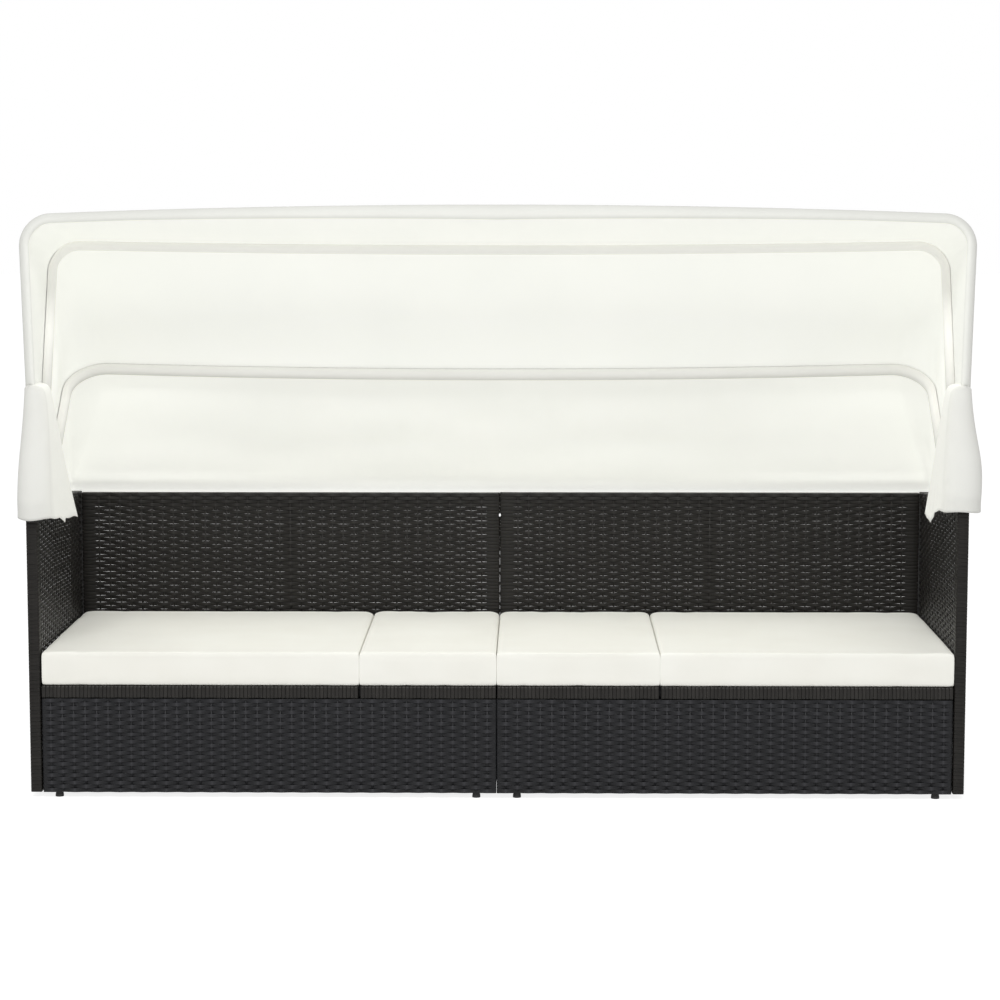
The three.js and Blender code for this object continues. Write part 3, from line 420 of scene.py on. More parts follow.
def coated_material(name, low, high, roughness, metallic, grain_scale):
    """Coated or plated metal and moulded plastic: a faint mottle of tone and a fine skin texture."""
    made, tree, shader = material(name, Roughness=roughness, Metallic=metallic)
    place = node(tree, "ShaderNodeTexCoord").outputs["Object"]
    mottled(tree, shader, place, 30.0, low, high)
    skin = node(tree, "ShaderNodeTexNoise", Vector=place, Scale=grain_scale, Detail=2.0)
    bumped(tree, shader, skin.outputs["Fac"], 0.15, 0.0002)
    return made


# Each strand material's third tone is a painted highlight, laid by the raised mask where a strand stands up
# over a rib.
STRAND_BLACK = strand_material(
    "resin_strand_black", (0.0065, 0.0067, 0.0078), (0.0125, 0.0127, 0.0145), (0.034, 0.034, 0.038)
)
STRAND_BROWN = strand_material(
    "resin_strand_dark_brown", (0.0075, 0.0064, 0.0052), (0.0145, 0.0128, 0.011), (0.026, 0.025, 0.023)
)
STRAND_BOARD = strand_material(
    "resin_strand_brown_board", (0.0124, 0.0112, 0.0098), (0.024, 0.0218, 0.0194), (0.034, 0.032, 0.03)
)
# The cushion cloth glows faintly everywhere and more on its top: painted light.
CUSHION = fabric_material(
    "cushion_cream_polyester", (0.79, 0.78, 0.718), (0.828, 0.823, 0.766), 0.005, 0.048,
    threads=520.0, bump=0.25, rough=0.85, on_surface=False,
)
# The hood glows: painted light for the daylight that comes through the cloth, more where its mask is high.
HOOD = fabric_material("canopy_white_polyester", (0.735, 0.745, 0.705), (0.77, 0.775, 0.735), 0.20, 0.54)
# A darker copy of the canopy cloth: painted shade on the boots, with painted glow on their inner layer.
BOOT = fabric_material("canopy_boot_polyester", (0.63, 0.63, 0.595), (0.66, 0.66, 0.625), 0.05, 0.28)
# A darker copy of the canopy cloth: painted shade on the front sleeve, with less painted glow than the hood.
SLEEVE = fabric_material(
    "canopy_front_sleeve_cloth", (0.575, 0.578, 0.545), (0.605, 0.608, 0.575), 0.03, 0.24
)
# A darker copy of the canopy cloth: painted shade on the inner sleeves, with painted glow by their mask.
SLEEVE_INSIDE = fabric_material(
    "canopy_inner_sleeve_cloth", (0.67, 0.665, 0.63), (0.7, 0.695, 0.66), 0.01, 0.23
)
STEEL = coated_material("black_powder_coat", (0.012, 0.012, 0.013), (0.019, 0.019, 0.02), 0.5, 0.0, 900.0)
ZINC = coated_material("black_zinc_plate", (0.018, 0.018, 0.019), (0.03, 0.03, 0.031), 0.4, 0.8, 500.0)
PLASTIC = coated_material("black_moulded_plastic", (0.01,) * 3, (0.016,) * 3, 0.55, 0.0, 1400.0)

for name, obj in nodes.items():
    if "bolt" in name or name.startswith("hinge"):
        finish = ZINC
    elif name.startswith("foot"):
        finish = PLASTIC
    else:
        finish = STEEL
    obj.data.materials.clear()
    obj.data.materials.append(finish)


# Woven skins


def rib_places(length, border):
    """Ribs at even steps about the rib pitch apart, inside the smooth borders."""
    count = int(round((length - 2 * border) / RIB_PITCH))
    step = (length - 2 * border) / count
    return border + (np.arange(count) + 0.5) * step, step


def wrapped_path(length, turn_depth, lip, ribs, step):
    """A strand's way over one face of a panel and round its two ends, in the plane (along, depth).

    It starts on the far side of the panel, `lip` in from the end, goes round the end on two quarter circles,
    along the face with four stations to a rib, close together at the rib itself, and round the other end the
    same way. Returns along, depth, the outward direction and 1 for the stations of the face and 0 for the
    others."""
    r = CORNER
    arc = np.linspace(0, math.pi / 2, 4)
    sin, cos = np.sin(arc), np.cos(arc)
    if lip > 0:
        back = side_by_side(np.linspace(lip, r, 3)[:-1], turn_depth, 0, 1)
        turn = side_by_side(r - r * sin, turn_depth - r + r * cos, -sin, cos)
        far_side = np.concatenate([back, turn])
    else:
        far_side = np.array([[0, turn_depth, -1, 0]])
    start = np.concatenate([far_side, side_by_side(r - r * cos, r - r * sin, -cos, -sin)])
    end = start[::-1].copy()
    end[:, 0] = length - end[:, 0]
    end[:, 2] = -end[:, 2]
    border = np.linspace(r, ribs[0] - step / 2, 3)[1:]
    over = (ribs[:, None] + np.array(RIB_STATION_SHARES) * step).ravel()
    field = np.concatenate([border, over, length - border[-2::-1]])
    way = np.concatenate([start, side_by_side(field, 0, 0, -1), end])
    on_face = np.concatenate([np.zeros(len(start)), np.ones(len(field)), np.zeros(len(end))])
    return way[:, 0], way[:, 1], way[:, 2:4], on_face


def woven_panel(
    bundle, origin, along, inward, length, depth, lip, low, top, rows, gap, jitter, border,
    seam=(0, 0), border_highlight=0,
):
    """Rows of strands that pass over and under upright ribs, with the next row the other way about.

    A row's depth below the face is WAVE_DEPTH less WAVE_HEIGHT times a wave of one turn to two ribs, and the
    rows next to it take the opposite sign. The wave is a cosine drawn sharper, arcsin(0.97 cos) over
    arcsin(0.97), so that a strand runs straight between the ribs and bends over them. Low and top give the
    panel's lower and upper edge at each place along it, gap the free slit between rows at a share along and
    up the panel, and seam how far each row stands out past the panel's start and end, where it meets its
    neighbour. The smooth borders and the top rows get border_highlight of the painted highlight that a strand
    has over a rib."""
    origin, along, inward = (np.array(v, float) for v in (origin, along, inward))
    ribs, step = rib_places(length, border)
    s, d, out, on_face = wrapped_path(length, depth, lip, ribs, step)
    edge = np.minimum(s, length - s)
    share = on_face * smooth((edge - border + 0.004) / 0.01)
    sign = np.where(np.arange(rows) % 2 == 0, 1, -1)[:, None]
    wave = np.arcsin(0.97 * np.cos(np.pi * (s - ribs[0]) / step))[None] / math.asin(0.97) * sign
    sink = STRAND_SEAT + share[None] * (WAVE_DEPTH - STRAND_SEAT - WAVE_HEIGHT * wave)
    z_low, z_top = low(s)[None], top(s)[None]
    level = (np.arange(rows)[:, None] + 0.5) / rows
    # raised masks a painted highlight: over each rib, and on the borders and top rows by border_highlight.
    at_border = np.maximum((on_face - share)[None], on_face * (level > 1 - 2.5 / rows))
    raised = share[None] * np.clip(wave, 0, 1) ** 4 + border_highlight * at_border
    drift = np.cumsum(rng.normal(0, 1, (rows, len(s))), axis=1)
    drift -= np.linspace(0, 1, len(s))[None] * drift[:, -1:]
    drift *= jitter / max(1e-9, np.abs(drift).max())
    loose = np.sin(rng.uniform(3, 9, (rows, 1)) * s[None] / length + rng.uniform(0, 6.3, (rows, 1)))
    free = gap(s[None] / length, level) + UNEVEN * (loose + rng.normal(0, 0.7, (rows, 1)))
    outward = out[:, :1] * along + out[:, 1:] * inward
    centre = origin + s[None, :, None] * along + d[None, :, None] * inward - outward * sink[..., None]
    at_end = np.arange(len(s))[None] > len(s) / 2
    past_end, past_start = (np.reshape(far, (-1, 1)) for far in (seam[1], seam[0]))
    stand = np.where(at_end, past_end, -past_start) * (edge < CORNER + 0.00001)
    centre += stand[..., None] * along
    centre[..., 2] = z_low + (z_top - z_low) * level + drift * share[None]
    bundle.add(centre, outward, (0, 0, 1), (z_top - z_low) / rows - free, raised=raised)
    # The ribs stand between the passing strands.
    foot = origin + ribs[:, None] * along + WAVE_DEPTH * inward
    ends = np.stack([foot, foot], 1)
    ends[:, 0, 2] = low(ribs) + 0.004
    ends[:, 1, 2] = top(ribs) - 0.004
    bundle.add(ends, -inward, along, RIB_WIDTH, RIB_THICK)


def strands_along_x(bundle, start, end, places, outward, across, width):
    """Straight strands from one X to another, at places (y, z)."""
    bundle.add(np.array([[(start, y, z), (end, y, z)] for y, z in places]), outward, across, width)


def even(value):
    """A panel's edge that is level all along."""
    return lambda s: np.full(np.shape(s), value, float)


def arm_top(y):
    """An arm's upper edge: level in front, then falling in a straight line to the height of the back."""
    slope = (ARM_FRONT_TOP - BACK_TOP) / (ARM_REAR_Y - ARM_LEVEL_Y)
    return ARM_FRONT_TOP - slope * np.maximum(0, y - ARM_LEVEL_Y)


def woven_arm(side, sign):
    """An arm: woven on its inner face, with strands turned round the front and rear edges to the outside, and
    along its upper and lower edges."""
    node_name = f"arm_weave_{side}"
    low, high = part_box(node_name)
    bundle = Bundle()
    depth = ARM_OUTER - ARM_INNER
    top = lambda s: arm_top(low.y + s)
    gap = lambda s, t: -0.0002 + 0.0001 * np.sin(9 * s + 3 * t)
    shape = high.y - low.y, depth, LIP, even(low.z), top
    origin = (sign * ARM_INNER, low.y, 0)
    woven_panel(bundle, origin, (0, 1, 0), (sign, 0, 0), *shape, ARM_ROWS, gap, 0.0004, BORDER)
    face = sign * (ARM_OUTER - STRAND_SEAT)
    steps = np.linspace(low.y + LIP, high.y - LIP, 24)
    for k in range(TURNED_ROWS):
        rise = ROW_PITCH * (k + 0.5)
        path = [side_by_side(face, steps, z) for z in (low.z + rise, arm_top(steps) - rise)]
        bundle.add(np.stack(path), (sign, 0, 0), (0, 0, 1), ROW_PITCH - PLAIN_SLIT)
    steps = np.linspace(low.y + 0.001, high.y - 0.001, 30)
    width = (depth - 2 * EDGE_INSET) / EDGE_STRANDS
    for k in range(EDGE_STRANDS):
        x = sign * (ARM_INNER + EDGE_INSET + (k + 0.5) * width)
        path = [side_by_side(x, steps, z) for z in (arm_top(steps) - STRAND_SEAT, low.z + STRAND_SEAT)]
        bundle.add(np.stack(path), np.array([[[0, 0, 1]], [[0, 0, -1]]]), (sign, 0, 0), width - 0.0002)
    finish_piece(bundle.build(f"woven_arm_{side}"), STRAND_BROWN, "bench", node_name)


def woven_back(side):
    """A back panel: woven in front, with strands turned round its ends, and along its upper and lower edges.

    The slits between its rows are wider near the arm and near the middle, each falling off exponentially. Up
    to SEAM_SHUT_ABOVE its rows end raggedly at the middle seam, and above that they shut it, but for one
    slit."""
    node_name = f"back_weave_{side}"
    low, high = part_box(node_name)
    bundle = Bundle()
    near_arm, near_middle = {"left": (0.0005, 0.0004), "right": (0.0003, 0.00015)}[side]
    crest = high.z - {"left": 0.0021, "right": 0.0014}[side]

    def gap(s, t):
        from_arm = s if side == "left" else 1 - s
        return -0.00009 + near_arm * np.exp(-from_arm / 0.06) + near_middle * np.exp(-(1 - from_arm) / 0.07)

    heights = low.z + (np.arange(BACK_ROWS) + 0.5) * (high.z - low.z) / BACK_ROWS
    ragged = BACK_SEAM + 0.0002 * (np.sin(2.3 * np.arange(BACK_ROWS)) > 0.4)
    closed = np.where(heights > SEAM_SHUT_ABOVE, 0.002, ragged)
    closed[np.abs(heights - SEAM_SLIT_HEIGHT) < ROW_PITCH / 2] = 0
    seam = (0, closed) if side == "left" else (closed, 0)
    shape = high.x - low.x, high.y - low.y, LIP, even(low.z), even(crest), BACK_ROWS
    origin = (low.x, low.y, 0)
    woven_panel(bundle, origin, (1, 0, 0), (0, 1, 0), *shape, gap, 0.0001, BORDER, seam, BORDER_HIGHLIGHT)
    rises = [ROW_PITCH * (k + 0.5) for k in range(TURNED_ROWS)]
    heights = [low.z + rise for rise in rises] + [crest - rise for rise in rises]
    rows = [(high.y - STRAND_SEAT, z) for z in heights]
    strands_along_x(bundle, low.x + LIP, high.x - LIP, rows, (0, 1, 0), (0, 0, 1), ROW_PITCH - PLAIN_SLIT)
    width = (high.y - low.y - 2 * EDGE_INSET) / EDGE_STRANDS
    for z, out in ((crest - STRAND_SEAT, (0, 0, 1)), (low.z + STRAND_SEAT, (0, 0, -1))):
        rows = [(low.y + EDGE_INSET + (k + 0.5) * width, z) for k in range(EDGE_STRANDS)]
        strands_along_x(bundle, low.x + END_INSET, high.x - END_INSET, rows, out, (0, 1, 0), width - 0.0002)
    finish_piece(bundle.build(f"woven_back_{side}"), STRAND_BROWN, "bench", node_name)


def woven_base(side, face):
    """The front or rear skin of a base unit, with its strands turned in at both ends and a lip over the top
    rail. On the left front skin one row has a few slits, a sine of the place along it."""
    node_name = f"{face}_weave_{side}"
    low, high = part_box(node_name)
    bundle = Bundle()
    y, inward = (low.y, 1) if face == "front" else (high.y, -1)
    slit = 0.0009 if (face, side) == ("front", "left") else 0.0

    def gap(s, t):
        at_row = np.abs(t * BASE_ROWS - SLIT_ROW - 0.5) < 0.5
        return -0.0009 + slit * at_row * (np.abs(s - 0.14) < 0.07) * (1 + np.sin(s * 160))

    seam = (0, BASE_SEAM) if side == "left" else (BASE_SEAM, 0)
    shape = high.x - low.x, BASE_TURN, 0, even(low.z), even(high.z), BASE_ROWS
    woven_panel(bundle, (low.x, y, 0), (1, 0, 0), (0, inward, 0), *shape, gap, 0.0004, BASE_BORDER, seam)
    lip = [(y + inward * (0.004 + ROW_PITCH * (k + 0.5)), high.z - STRAND_SEAT) for k in range(EDGE_STRANDS)]
    strands_along_x(bundle, low.x + END_INSET, high.x - END_INSET, lip, (0, 0, 1), (0, 1, 0), 0.0077)
    finish_piece(bundle.build(f"woven_{face}_{side}"), STRAND_BLACK, "bench", node_name)


def woven_board(part, side, body):
    """A seat board: strands wound across it, from the lower lip in front over the top to the lower lip at the
    rear, round quarter circles at its edges, and straight strands on its ends."""
    node_name = f"board_weave_{part}_{side}"
    low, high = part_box(node_name)
    bundle = Bundle()
    r, lip, inset = 0.005, 0.0225, 0.004
    length, height = high.y - low.y, high.z - low.z
    arc = np.linspace(0, math.pi / 2, 4)
    sin, cos = np.sin(arc), np.cos(arc)
    turn_low = side_by_side(r - r * sin, r - r * cos, -sin, -cos)
    turn_high = side_by_side(r - r * cos, height - r + r * sin, -cos, sin)
    half = np.concatenate([[[lip, 0, 0, -1]], turn_low, turn_high, [[length * 0.25, height, 0, 1]]])
    other = half[::-1].copy()
    other[:, 0] = length - other[:, 0]
    other[:, 2] = -other[:, 2]
    way = np.concatenate([half, other])
    count = int(round((high.x - low.x) / ROW_PITCH))
    xs = low.x + (np.arange(count) + 0.5) * (high.x - low.x) / count
    ys = low.y + way[:, 0] - way[:, 2] * STRAND_SEAT
    zs = low.z + way[:, 1] - way[:, 3] * STRAND_SEAT
    width = (high.x - low.x) / count - 0.0001 - 0.0002 * rng.random((count, 1))
    bundle.add(side_by_side(xs[:, None], ys, zs), side_by_side(0, way[:, 2], way[:, 3]), (1, 0, 0), width)
    for x, out in ((low.x + STRAND_SEAT, -1), (high.x - STRAND_SEAT, 1)):
        zs = [low.z + 0.001 + (k + 0.5) * (height - 0.002) / EDGE_STRANDS for k in range(EDGE_STRANDS)]
        path = np.array([[(x, low.y + inset, z), (x, high.y - inset, z)] for z in zs])
        bundle.add(path, (out, 0, 0), (0, 0, 1), 0.0084)
    finish_piece(bundle.build(f"woven_board_{part}_{side}"), STRAND_BOARD, body, node_name)


for side, sign in (("left", -1), ("right", 1)):
    woven_arm(side, sign)
    woven_back(side)
    woven_base(side, "front")
    woven_base(side, "rear")
    woven_board("seat", side, "bench")
    woven_board("backrest", side, f"backrest_{side}")


# Cushions


def apply_modifiers(obj):
    """Puts the object's own shape, as its modifiers leave it, into its mesh."""
    graph = bpy.context.evaluated_depsgraph_get()
    shape = bpy.data.meshes.new_from_object(obj.evaluated_get(graph))
    obj.modifiers.clear()
    obj.data = shape


def coordinates(mesh):
    co = np.empty(len(mesh.vertices) * 3, np.float32)
    mesh.vertices.foreach_get("co", co)
    return co.reshape(-1, 3).astype(float)


def swollen(obj):
    """Blows the closed mesh up as cloth for twenty frames, and keeps each point within CUSHION_SWELL of where
    it began."""
    start = coordinates(obj.data)
    cloth = obj.modifiers.new("cloth", "CLOTH")
    cloth.settings.use_pressure = True
    cloth.settings.uniform_pressure_force = CUSHION_PRESSURE
    cloth.settings.effector_weights.gravity = 0
    cloth.settings.quality = 4
    cloth.point_cache.frame_start, cloth.point_cache.frame_end = 1, 20
    scene = bpy.context.scene
    for number in range(1, 21):
        scene.frame_set(number)
    apply_modifiers(obj)
    moved = coordinates(obj.data) - start
    reach = np.linalg.norm(moved, axis=1, keepdims=True)
    set_places(obj.data, start + moved * np.minimum(1, CUSHION_SWELL / np.maximum(reach, 1e-9)))
    scene.frame_set(1)


def boxed(co, low, high):
    """Draws points near the cushion's sides out towards them, so that a boxed cushion keeps its sewn edges.

    A point's distance to the nearest side is multiplied close to it by its one of KEEP_SHARES, the first for
    the sides and the second for front and rear, and by 1 from 44 mm in, and the rim of the top is lifted."""
    for axis, keep in enumerate(KEEP_SHARES):
        for wall, sign in ((low[axis], 1), (high[axis], -1)):
            far = (co[:, axis] - wall) * sign
            co[:, axis] = wall + sign * far * (keep + (1 - keep) * smooth((far - 0.014) / 0.03))
    rim = np.minimum(np.abs(co[:, :2] - low[:2]), np.abs(co[:, :2] - high[:2])).min(1)
    upper = smooth((co[:, 2] - low[2] - 0.055) / 0.006)
    co[:, 2] += RIM_LIFT * upper * (1 - smooth(rim / RIM_WIDTH))
    return co


def quarter_fall(far, width):
    """1 at a side, falling to 0 at `width` from it on a quarter ellipse."""
    return 1 - np.sqrt(1 - np.clip(1 - far / width, 0, 1) ** 2)


def shouldered(co, low, high):
    """Rounds the top down to its left and right sides on a quarter ellipse, which gets deeper to the rear by
    a square, and rounds the bottom up to them on a smaller one."""
    from_side = np.minimum(np.abs(co[:, 0] - low[0]), np.abs(co[:, 0] - high[0]))
    back_share = np.clip((co[:, 1] - low[1]) / (high[1] - low[1]), 0, 1)
    height = np.clip((co[:, 2] - low[2]) / (high[2] - low[2]), 0, 1)
    deep = SHOULDER_FRONT + SHOULDER_DEEPER * back_share**2
    co[:, 2] -= deep * quarter_fall(from_side, SHOULDER_WIDTH) * smooth((height - 0.5) / 0.35)
    co[:, 2] += FOOT_RISE * quarter_fall(from_side, FOOT_ROUND) * smooth((0.3 - height) / 0.25)
    return co


def cushion(name, node_name, body, spread):
    """A boxed cushion from its solid: merged, remeshed, swollen, stretched so that its sides reach their
    neighbours (spread is how far past its solid to the left and to the right), and rounded by a subdivision.
    Its painted_light_mask says how far each point faces up, for the painted light on its top."""
    mesh = nodes[node_name].data.copy()
    obj = placed(name, mesh)
    mesh.materials.clear()
    low, high = (np.array(v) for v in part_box(node_name))
    middle, half = (low + high) / 2, (high - low) / 2
    inset = np.array([0.0, 0.0, 0.001])
    set_places(mesh, middle + (boxed(coordinates(mesh), low, high) - middle) * (half - inset) / half)
    weld = obj.modifiers.new("weld", "WELD")
    weld.merge_threshold = 0.0002
    remesh = obj.modifiers.new("remesh", "REMESH")
    remesh.mode = "VOXEL"
    remesh.voxel_size = CUSHION_GRID
    apply_modifiers(obj)
    swollen(obj)
    co = boxed(coordinates(obj.data), low, high)
    reach = np.array([[low[0] - spread[0], low[1], low[2]], [high[0] + spread[1], high[1], high[2]]])
    found = co.min(0), co.max(0)
    share = (co - found[0]) / (found[1] - found[0])
    co[:, :2] = (reach[0] + share * (reach[1] - reach[0]))[:, :2]
    co = shouldered(co, *reach)
    co[:, 2] = np.clip(co[:, 2], low[2] + 0.0002, None)
    set_places(obj.data, co)
    rounding = obj.modifiers.new("rounding", "SUBSURF")
    rounding.levels = rounding.render_levels = 1
    apply_modifiers(obj)
    obj.data.polygons.foreach_set("use_smooth", np.ones(len(obj.data.polygons), bool))
    normal = np.empty(len(obj.data.vertices) * 3, np.float32)
    obj.data.vertices.foreach_get("normal", normal)
    # Painted light: the faces that point up get the stronger glow.
    point_mask(obj, "painted_light_mask", smooth((normal[2::3] - 0.3) / 0.5))
    finish_piece(obj, CUSHION, body, node_name)
    return obj


for side, sign in (("left", -1), ("right", 1)):
    seat = cushion(f"seat_cushion_{side}", f"cushion_seat_{side}", "bench", (TOUCHING, TOUCHING))
    spread = (-0.0005, TOUCHING) if side == "left" else (TOUCHING, AT_ARM)
    cushion(f"backrest_cushion_{side}", f"cushion_backrest_{side}", f"backrest_{side}", spread)
    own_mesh(seat)


# Canopy

FRONT = {"angle": -2.3, "reach": 0.5975, "corner": 0.06, "rise": 0.018, "foot": 0.9865, "splay": 0.006}
MIDDLE = {"angle": 22.2, "reach": 0.5475, "corner": 0.06, "rise": -0.01, "foot": 0.97, "splay": 0}
BACK = {"angle": 52.1, "reach": 0.37, "corner": 0.085, "rise": -0.018, "foot": 0.9535, "splay": 0}
LEG, TURN, CROSS = 40, 20, 150
SPLAY_FROM = 0.222
HOOD_MIDDLE = np.array([0, 0.335 + SHIFT_Y, PIVOT_Z])


def both_sides(leg, corner, cross, sign=1):
    """One coordinate along a line: up the right leg to the middle, and sign times the same back."""
    half = np.concatenate([leg, corner, cross])
    return np.concatenate([half, sign * half[-2::-1]])


def hoop_points(hoop, start):
    """A hoop's centre line from the right leg, `start` from the pivot line, over to the left one.

    The leg is straight and splays outwards from SPLAY_FROM on, the corner is a quarter circle, and the cross
    bar a parabola that rises by `rise` at the middle. The whole is turned back about the pivot line by
    `angle`, in degrees."""
    shoulder = hoop["reach"] - hoop["rise"]
    end = shoulder - hoop["corner"]
    d_leg = start + (end - start) * np.linspace(0, 1, LEG + 1)[:-1]
    x_leg = hoop["foot"] + hoop["splay"] * np.clip((d_leg - SPLAY_FROM) / (end - SPLAY_FROM), 0, 1)
    a = np.linspace(0, math.pi / 2, TURN + 1)
    x_top = hoop["foot"] + hoop["splay"]
    share = 1 - np.linspace(0, 1, CROSS + 1)[1:]
    x = both_sides(x_leg, x_top - hoop["corner"] * (1 - np.cos(a)), (x_top - hoop["corner"]) * share, -1)
    d = both_sides(d_leg, end + hoop["corner"] * np.sin(a), shoulder + hoop["rise"] * (1 - share**2))
    angle = math.radians(hoop["angle"])
    return side_by_side(x, PIVOT_Y + d * math.sin(angle), PIVOT_Z + d * math.cos(angle))


def rear_line(offset, drop):
    """The line that the rear cloth bends over, along the arms' outsides and round behind the back's top on
    quarter circles. offset sets it outwards, and drop lowers it."""
    x, back, r = REAR_OUT + offset, REAR_BACK + offset, REAR_CORNER
    leg = np.linspace(REAR_FRONT, back - r, LEG + 1)[:-1]
    a = np.linspace(0, math.pi / 2, TURN + 1)
    cross = (x - r) * (1 - np.linspace(0, 1, CROSS + 1)[1:])
    xs = both_sides(np.full(LEG, x), x - r * (1 - np.cos(a)), cross, -1)
    ys = both_sides(leg, back - r + r * np.sin(a), np.full(CROSS, back))
    return side_by_side(xs, ys, arm_top(np.minimum(ys, ARM_REAR_Y)) + REAR_LIFT - drop)


def outward_of(line, towards):
    """The direction square to a line and to the cloth that runs from it, pointing out of the hood."""
    tangent = unit(np.gradient(line, axis=0))
    normal = unit(np.cross(tangent, unit(towards - line)))
    flip = ((line - HOOD_MIDDLE) * normal).sum(1, keepdims=True) < 0
    return np.where(flip, -normal, normal)


def run_between(a, b, na, nb, rows, wave):
    """Cloth from line a to line b, both lifted by the tube's cloth radius, with a sag of PANEL_SAG times
    4 s (1 - s) inwards."""
    start, end = a + na * TUBE_CLOTH, b + nb * TUBE_CLOTH
    t = np.linspace(0, 1, rows)[:, None, None]
    normal = unit(na[None] * (1 - t) + nb[None] * t)
    return start[None] * (1 - t) + end[None] * t - normal * (PANEL_SAG * 4 * t * (1 - t) - wave(t))


def soft_folds(scale, seed):
    """Broad, shallow undulations of the cloth, a few sines along and across it that fade out at both seams,
    and small puckers beside the seams: a sine of uneven pitch along them that dies away exponentially."""
    draws = np.random.default_rng(seed).uniform(0, 2 * math.pi, (6, 2))
    along = np.linspace(0, 1, len(EDGE))[None, :, None]
    uneven = np.sin(2 * math.pi * PUCKERS * along + 3 * np.sin(17 * along + draws[0, 0]))
    pucker = uneven * (0.6 + 0.4 * np.sin(29 * along))

    def beside(t):
        return np.exp(-t / 0.05) * (1 - np.exp(-t / 0.01))

    def wave(t):
        total = 0
        for k, (first, second) in enumerate(draws):
            across = np.sin((1 + k) * math.pi * t + second)
            total = total + math.pow(0.8, k) * np.sin((5 + 6 * k) * along + first) * across
        fading = np.sqrt(np.maximum(0, t * (1 - t)))
        return scale * total * fading * 1.2 + PUCKER_DEPTH * pucker * (beside(t) + beside(1 - t))

    return wave


def cloth_piece(name, grid, mat, painted_light_mask):
    """A sheet from a grid (rows, columns, 3), with its UV map in metres of cloth and a wall of one cloth
    thickness. painted_light_mask is a mask from 0 to 1 for the painted glow, where daylight would reach the
    cloth from behind.
    Its faces are turned to face away from the hood's middle."""
    rows, columns = grid.shape[:2]
    index = np.arange(rows * columns).reshape(rows, columns)
    faces = np.stack([index[:-1, :-1], index[:-1, 1:], index[1:, 1:], index[1:, :-1]], -1).reshape(-1, 4)
    across = np.linalg.norm(np.diff(grid, axis=1), axis=2)
    down = np.linalg.norm(np.diff(grid, axis=0), axis=2)
    u = np.concatenate([[0], np.cumsum(across[rows // 2])])
    v = np.concatenate([np.zeros((1, columns)), np.cumsum(down, axis=0)])
    points = grid.reshape(-1, 3)
    a, b, c, d = (points[faces[:, i]] for i in range(4))
    normal = np.cross(c - a, d - b)
    if ((points[faces].mean(1) - HOOD_MIDDLE) * normal).sum() < 0:
        faces = faces[:, ::-1]
    obj = mesh_object(name, points, faces, side_by_side(u, v).reshape(-1, 2))
    wall = obj.modifiers.new("cloth", "SOLIDIFY")
    wall.thickness = CLOTH
    wall.offset = 0
    obj.data.materials.append(mat)
    point_mask(obj, "painted_light_mask", np.broadcast_to(painted_light_mask, (rows, columns)))
    return obj


def blended(obj):
    """Bakes the object's placement into its mesh."""
    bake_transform(obj)


UPPER = [hoop_points(hoop, SPLAY_FROM) for hoop in (FRONT, MIDDLE, BACK)]
WHOLE = [hoop_points(hoop, CLOTH_FROM) for hoop in (FRONT, MIDDLE, BACK)]
EDGE, HEM = rear_line(0, 0), rear_line(HEM_OUT, HEM_DROP)
FROM_FOOT = np.minimum(np.arange(len(EDGE)), np.arange(len(EDGE))[::-1]) / LEG


def front_cloth():
    """A loose sleeve wound round the front hoop in a spiral, which hangs lower towards the middle of the
    cross bar, and the run of cloth from there to the middle hoop."""
    n_front = outward_of(UPPER[0], UPPER[1])
    n_join = unit(outward_of(UPPER[1], UPPER[0]) + outward_of(UPPER[1], UPPER[2]))
    chord = unit(UPPER[1] - UPPER[0])
    run = run_between(UPPER[0], UPPER[1], n_front, n_join, PANEL_ROWS, soft_folds(0.0012, 3))
    hang = SLEEVE_HANG * np.maximum(0.05, 1 - np.abs(UPPER[0][:, 0]) / SLEEVE_HANG_REACH)
    angles = np.linspace(math.radians(235), 0, 15)[:-1]
    turns = []
    for angle in angles:
        direction = n_front * math.cos(angle) - chord * math.sin(angle)
        ring = UPPER[0] + direction * TUBE_CLOTH
        ring[:, 2] -= hang * np.maximum(0, -direction[:, 2])
        turns.append(ring)
    seam = run[4] - n_front * 0.0022
    inner = [seam * (1 - t) + turns[0] * t for t in (0, 0.33, 0.66)]
    grid = np.concatenate([np.stack(inner), np.stack(turns), run[:3]])
    facing_in = smooth((angles - math.radians(70)) / math.radians(80))
    wound = np.concatenate([np.ones(len(inner)), facing_in, np.zeros(3)])
    # Painted light: the sleeve's turns that face into the hood glow fully, and it glows a little near the
    # feet.
    lit = np.maximum(wound[:, None], 0.2 * (1 - smooth((FROM_FOOT - 0.8) / 0.5))[None])
    sleeve = cloth_piece("canopy_sleeve_front", grid, SLEEVE, lit)
    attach(sleeve, "front_bow")
    # Painted light: the front panel glows more away from the legs.
    lit = 0.3 * smooth((FROM_FOOT - 0.65) / 0.6)[None]
    panel = cloth_piece("canopy_front", run[2:], HOOD, lit)
    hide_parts("canopy_front_panel")
    blended(panel)


